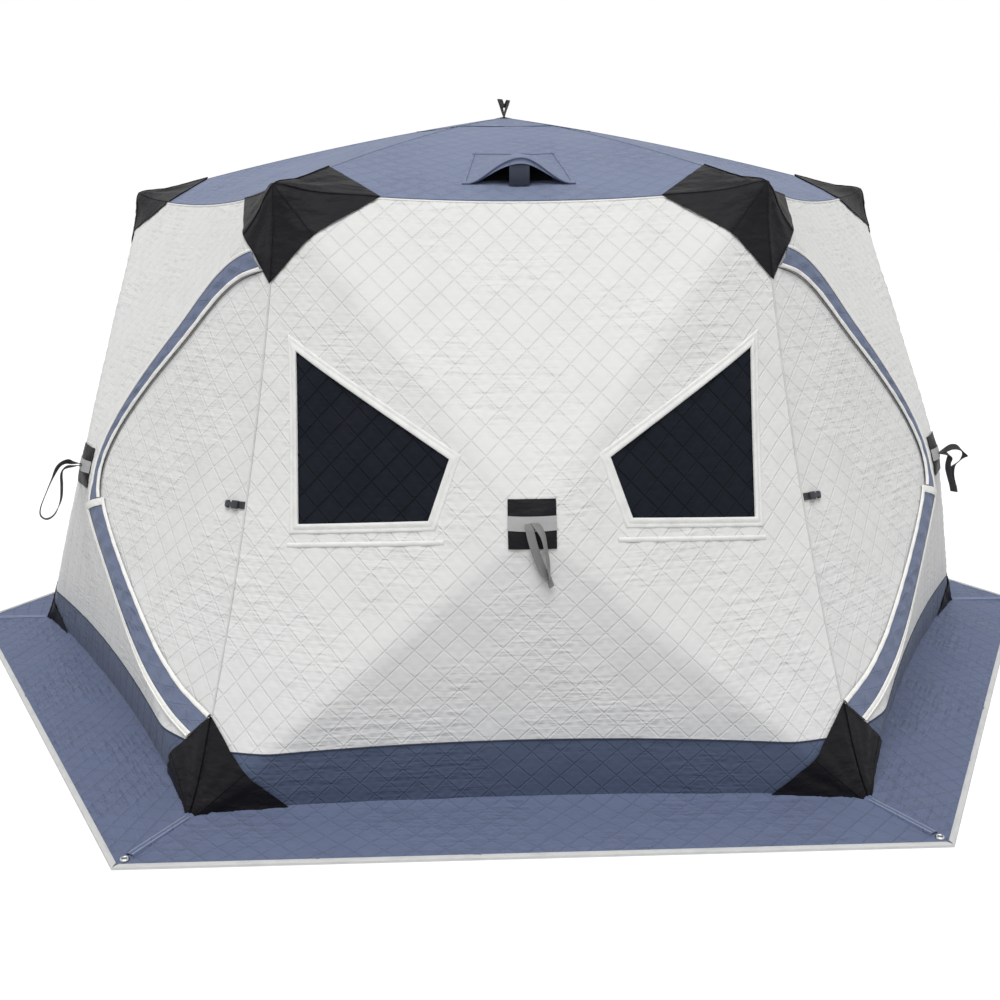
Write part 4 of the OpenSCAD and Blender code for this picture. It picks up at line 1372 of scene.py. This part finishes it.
def cap_pieces():
    for name, cap in (("eave", eave_cap), ("ground", ground_cap)):
        part, seams = (all_round(p) for p in cap())
        seams = make(name + "_cap_seams", seams, BLACK)
        piece = make(name + "_caps_cloth", part, BLACK)
        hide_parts(name + "_corner_caps")
        declare(part)


# ---- Hub patches and pull straps ----

STRIPE = (-0.019 + 0.002, 0.019 + 0.002)  # its lower and upper edge, from the hub's height


def patch_area(centre, half, heights, lift, thick):
    """A rectangle of cloth round a point of the wall."""
    x, z = np.linspace(-half, half, 14), np.linspace(*heights, 14)
    rows = [lifted(wall_at, np.column_stack([centre[0] + x, np.full(14, centre[1] + v)]),
                   lift + 0.0008 * np.sin(60 * x + 30 * v)) for v in z]
    return rows_cloth(np.array(rows), thick)


def hub_patch():
    """The patch over a hub, and the reflective stripe across it, a little above its middle."""
    centre = flat_of(wall_at, [(0.0, HUB_Z)])[0]
    patch = patch_area(centre, PATCH_W / 2, (-PATCH_W / 2, PATCH_W / 2), 0.0042, 0.0018)
    return patch, patch_area(centre, PATCH_W / 2, STRIPE, 0.0062, 0.0012)


def ribbon(start, plan, n, width, thick=0.0018):
    """Webbing from a plan: x, y, z of its middle, then the direction of its width, a row."""
    c = curve_through(plan, n)
    path, across = start + c[:, :3], c[:, 3:]
    across = across / np.linalg.norm(across, axis=1)[:, None]
    rows = [path + across * (width * s) for s in (-0.5, -0.25, 0, 0.25, 0.5)]
    return rows_cloth(np.array(rows), thick)


def hub_front():
    """Where a pull strap is sewn on, in front of the hub patch."""
    return lifted(wall_at, flat_of(wall_at, [(0.0, HUB_Z)]), 0.008)[0]


def hanging_strap():
    """Pull loop of the front wall: it hangs a little to one side and is pinched at its end."""
    loop = [
        (-0.010, 0.002, 0.004, 1, 0, 0.2), (-0.008, -0.006, -0.012, 1, 0, 0.1),
        (-0.002, -0.010, -0.040, 1, 0.1, 0.2), (0.010, -0.012, -0.080, 1, 0.1, 0.3),
        (0.024, -0.012, -0.118, 1, 0.2, 0.5), (0.038, -0.010, -0.142, 0.9, 0.5, 0.5),
        (0.046, -0.010, -0.150, 0.5, 1, 0.2), (0.044, -0.014, -0.138, 0.2, 1, 0),
        (0.040, -0.018, -0.105, 0.45, 1, 0), (0.034, -0.018, -0.065, 0.45, 1, 0),
        (0.027, -0.012, -0.030, 0.6, 0.8, 0), (0.016, -0.006, -0.008, 0.9, 0.4, 0),
        (0.006, 0.001, 0.004, 1, 0, 0),
    ]
    stub = [
        (0.040, -0.013, -0.142, 0.9, 0.3, 0.4), (0.047, -0.012, -0.156, 0.9, 0.3, 0.4),
        (0.051, -0.011, -0.170, 0.9, 0.2, 0.5),
    ]
    start = hub_front()
    return joined([ribbon(start, loop, 72, 0.023), ribbon(start, stub, 8, 0.015, 0.005)])


def side_strap():
    """Pull loop of a side wall: it stands out from the patch, then hangs open."""
    loop = [
        (0, 0.002, 0.006, 1, 0, 0), (0.002, -0.022, 0.012, 0.8, 0, 0.5),
        (0.004, -0.046, 0.019, 0.5, 0.3, 0.8), (0.004, -0.072, 0.006, 0.6, -0.6, 0.3),
        (0.002, -0.094, -0.034, 0.8, -0.4, 0),
        (0, -0.116, -0.080, 0.9, -0.3, 0), (-0.002, -0.136, -0.128, 0.9, -0.3, 0),
        (-0.002, -0.137, -0.156, 0.9, -0.2, 0), (-0.001, -0.118, -0.170, 0.9, 0, 0),
        (0.001, -0.092, -0.156, 0.9, 0, 0.2), (0.003, -0.070, -0.112, 0.8, -0.4, 0),
        (0.004, -0.064, -0.064, 0.8, -0.5, 0), (0.004, -0.062, -0.022, 0.8, -0.4, 0.3),
        (0.003, -0.048, -0.003, 0.7, 0.2, 0.6), (0.001, -0.020, -0.002, 1, 0, 0.4),
        (0, 0.002, -0.002, 1, 0, 0),
    ]
    return ribbon(hub_front(), loop, 96, 0.020, 0.0024)


def crossed_strap():
    """Pull loop of the right door's wall: its legs cross, and its end is pinched."""
    loop = [
        (0, 0.002, 0.002, 1, 0, 0), (0.002, -0.014, 0.010, 0.8, 0.4, 0.4),
        (0.004, -0.038, 0.024, 0.4, 0.4, 0.8), (0.006, -0.062, 0.022, 0.3, 0.5, 0.8),
        (0.008, -0.082, 0.000, 0.4, 0.9, 0.2), (0.008, -0.068, -0.022, 0.3, 0.6, -0.7),
        (0.006, -0.046, -0.044, 0.3, 0.8, -0.5), (0.004, -0.042, -0.072, 0.3, 0.9, 0),
        (0.002, -0.052, -0.112, 0.3, 0.9, 0), (0, -0.054, -0.120, 0.4, 0.9, 0),
        (-0.004, -0.048, -0.110, 0.3, 0.9, 0), (-0.006, -0.034, -0.070, 0.4, 0.8, 0.2),
        (-0.006, -0.030, -0.036, 0.3, 0.8, -0.3), (-0.004, -0.034, -0.008, 0.4, 0.7, 0.4),
        (-0.002, -0.018, 0.000, 0.8, 0.3, 0.3), (0, 0.002, -0.002, 1, 0, 0),
    ]
    stub = [
        (0, -0.050, -0.106, 0.3, 0.9, 0), (0, -0.053, -0.118, 0.3, 0.9, 0),
        (0, -0.055, -0.130, 0.3, 0.9, 0),
    ]
    start = hub_front()
    return joined([ribbon(start, loop, 110, 0.021, 0.0024), ribbon(start, stub, 6, 0.024, 0.006)])


def peak_strap():
    """Pull loop at the peak: it stands up, its middle folded down."""
    loop = [
        (0.001, 0, 0.0, 0.4, 1, 0), (-0.004, 0, 0.016, 0.5, 1, 0), (-0.010, 0.002, 0.040, 0.7, 1, 0),
        (-0.016, 0.002, 0.062, 0.8, 0.8, 0), (-0.014, 0, 0.068, 1, 0.6, 0), (-0.006, 0, 0.050, 0.9, 0.7, 0),
        (0.002, 0, 0.036, 0.8, 0.8, 0), (0.010, 0, 0.050, 0.8, 0.9, 0), (0.017, -0.002, 0.064, 0.7, 1, 0),
        (0.020, -0.002, 0.060, 0.6, 1, 0), (0.014, 0, 0.040, 0.5, 1, 0), (0.006, 0, 0.016, 0.4, 1, 0),
        (0.001, 0, 0.0, 0.4, 1, 0),
    ]
    return ribbon(np.array([0, 0, PEAK_Z + 0.004]), loop, 80, 0.022)


def peak_patch():
    rows = []
    for r in np.linspace(0.002, 0.034, 5):
        rows.append([(r * math.cos(a), r * math.sin(a), PEAK_Z + 0.0045 - r * 0.236)
                     for a in np.linspace(0, 2 * math.pi, 37)])
    return rows_cloth(np.array(rows)[::-1], 0.0016)


def strap_pieces():
    patch, stripe = (all_round(p) for p in hub_patch())
    piece = make("hub_patches_cloth", patch, BLACK)
    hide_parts("hub_patches")
    declare(patch)
    piece = make("hub_patch_stripes", stripe, REFLECTIVE)
    declare(stripe)
    front = hanging_strap()
    others = joined([turned(crossed_strap(), 1)] + [turned(side_strap(), k) for k in range(2, 6)])
    piece = make("front_pull_strap", front, WEBBING)
    declare(front)
    piece = make("wall_pull_strap_loops", others, WEBBING_DARK)
    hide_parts("wall_pull_straps")
    declare(others)
    piece = make("peak_strap_patch", peak_patch(), BLACK)
    declare(peak_patch())
    piece = make("peak_pull_strap_loop", peak_strap(), WEBBING_DARK)
    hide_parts("peak_pull_strap")
    declare(peak_strap())


# ---- Poles and hubs, inside ----

def frame_materials():
    for node, material in (("wall_poles", POLE), ("roof_poles", POLE), ("pole_hubs", HUB_PLASTIC),
                           ("corner_sockets", HUB_PLASTIC)):
        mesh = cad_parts[node].data
        mesh.materials.clear()
        mesh.materials.append(material)


# ---- Stage ----

def seen_directly(tree):
    """1 for camera, mirror and glass rays, so that the background shows in metal too."""
    path = tree.nodes.new("ShaderNodeLightPath")
    most = path.outputs["Is Camera Ray"]
    for kind in ("Is Glossy Ray", "Is Transmission Ray"):
        larger = tree.nodes.new("ShaderNodeMath")
        larger.operation = "MAXIMUM"
        tree.links.new(most, larger.inputs[0])
        tree.links.new(path.outputs[kind], larger.inputs[1])
        most = larger.outputs[0]
    return most


def stage():
    scene = bpy.context.scene
    scene.view_settings.view_transform = "Standard"
    net = Net("floor", Roughness=0.95)
    net.shader.inputs["Base Color"].default_value = (FLOOR_GREY, FLOOR_GREY, FLOOR_GREY, 1)
    glow = net.node("ShaderNodeEmission")
    strength = net.math("MULTIPLY", seen_directly(net.mat.node_tree), FLOOR_GLOW)
    net.links.new(strength, glow.inputs["Strength"])
    both = net.node("ShaderNodeAddShader", (net.shader.outputs[0], glow.outputs[0]))
    net.links.new(both.outputs[0], net.nodes["Material Output"].inputs[0])
    mesh = bpy.data.meshes.new("floor")
    half = FLOOR_HALF
    mesh.from_pydata([(-half, -half, 0), (half, -half, 0), (half, half, 0), (-half, half, 0)], [],
                     [(0, 1, 2, 3)])
    floor = bpy.data.objects.new("floor", mesh)
    scene.collection.objects.link(floor)
    mesh.materials.append(net.mat)
    world = bpy.data.worlds.new("studio")
    scene.world = world
    world.use_nodes = True
    nodes, links = world.node_tree.nodes, world.node_tree.links
    back, out = nodes["Background"], nodes["World Output"]
    back.inputs[0].default_value, back.inputs[1].default_value = (1, 1, 1, 1), WORLD_LIGHT
    seen = nodes.new("ShaderNodeBackground")
    seen.inputs[0].default_value, seen.inputs[1].default_value = (1, 1, 1, 1), 1.0
    mix = nodes.new("ShaderNodeMixShader")
    links.new(seen_directly(world.node_tree), mix.inputs[0])
    links.new(back.outputs[0], mix.inputs[1])
    links.new(seen.outputs[0], mix.inputs[2])
    links.new(mix.outputs[0], out.inputs[0])
    light = bpy.data.lights.new("key", "SUN")
    light.angle, light.energy = KEY_ANGLE, KEY_LIGHT * math.pi
    lamp = bpy.data.objects.new("key", light)
    lamp.rotation_mode = "QUATERNION"
    lamp.rotation_quaternion = Vector(KEY_FROM).to_track_quat("Z", "Y")
    scene.collection.objects.link(lamp)


WORLD_LIGHT, KEY_LIGHT, KEY_ANGLE = 0.40, 0.72, 0.7
KEY_FROM = (-0.06, -0.45, 0.88)
FLOOR_GREY, FLOOR_GLOW, FLOOR_HALF = 0.55, 0.56, 40.0


LENS, CAMERA_SHIFT = 41.28, -0.1
CAMERA_AT = (-0.198, -4.657, 1.659)
CAMERA_TURN = (90 - 9.21, 0.35, -2.23)  # degrees; it looks down a little


def camera():
    cam = bpy.data.cameras.new("camera")
    obj = bpy.data.objects.new("camera", cam)
    bpy.context.scene.collection.objects.link(obj)
    cam.sensor_width, cam.lens = 36.0, LENS
    cam.shift_y = CAMERA_SHIFT
    obj.location = CAMERA_AT
    obj.rotation_euler = [math.radians(turn) for turn in CAMERA_TURN]
    bpy.context.scene.camera = obj


camera()
wall_pieces()
skirt_pieces()
door_pieces()
roof_pieces()
cap_pieces()
strap_pieces()
frame_materials()
stage()
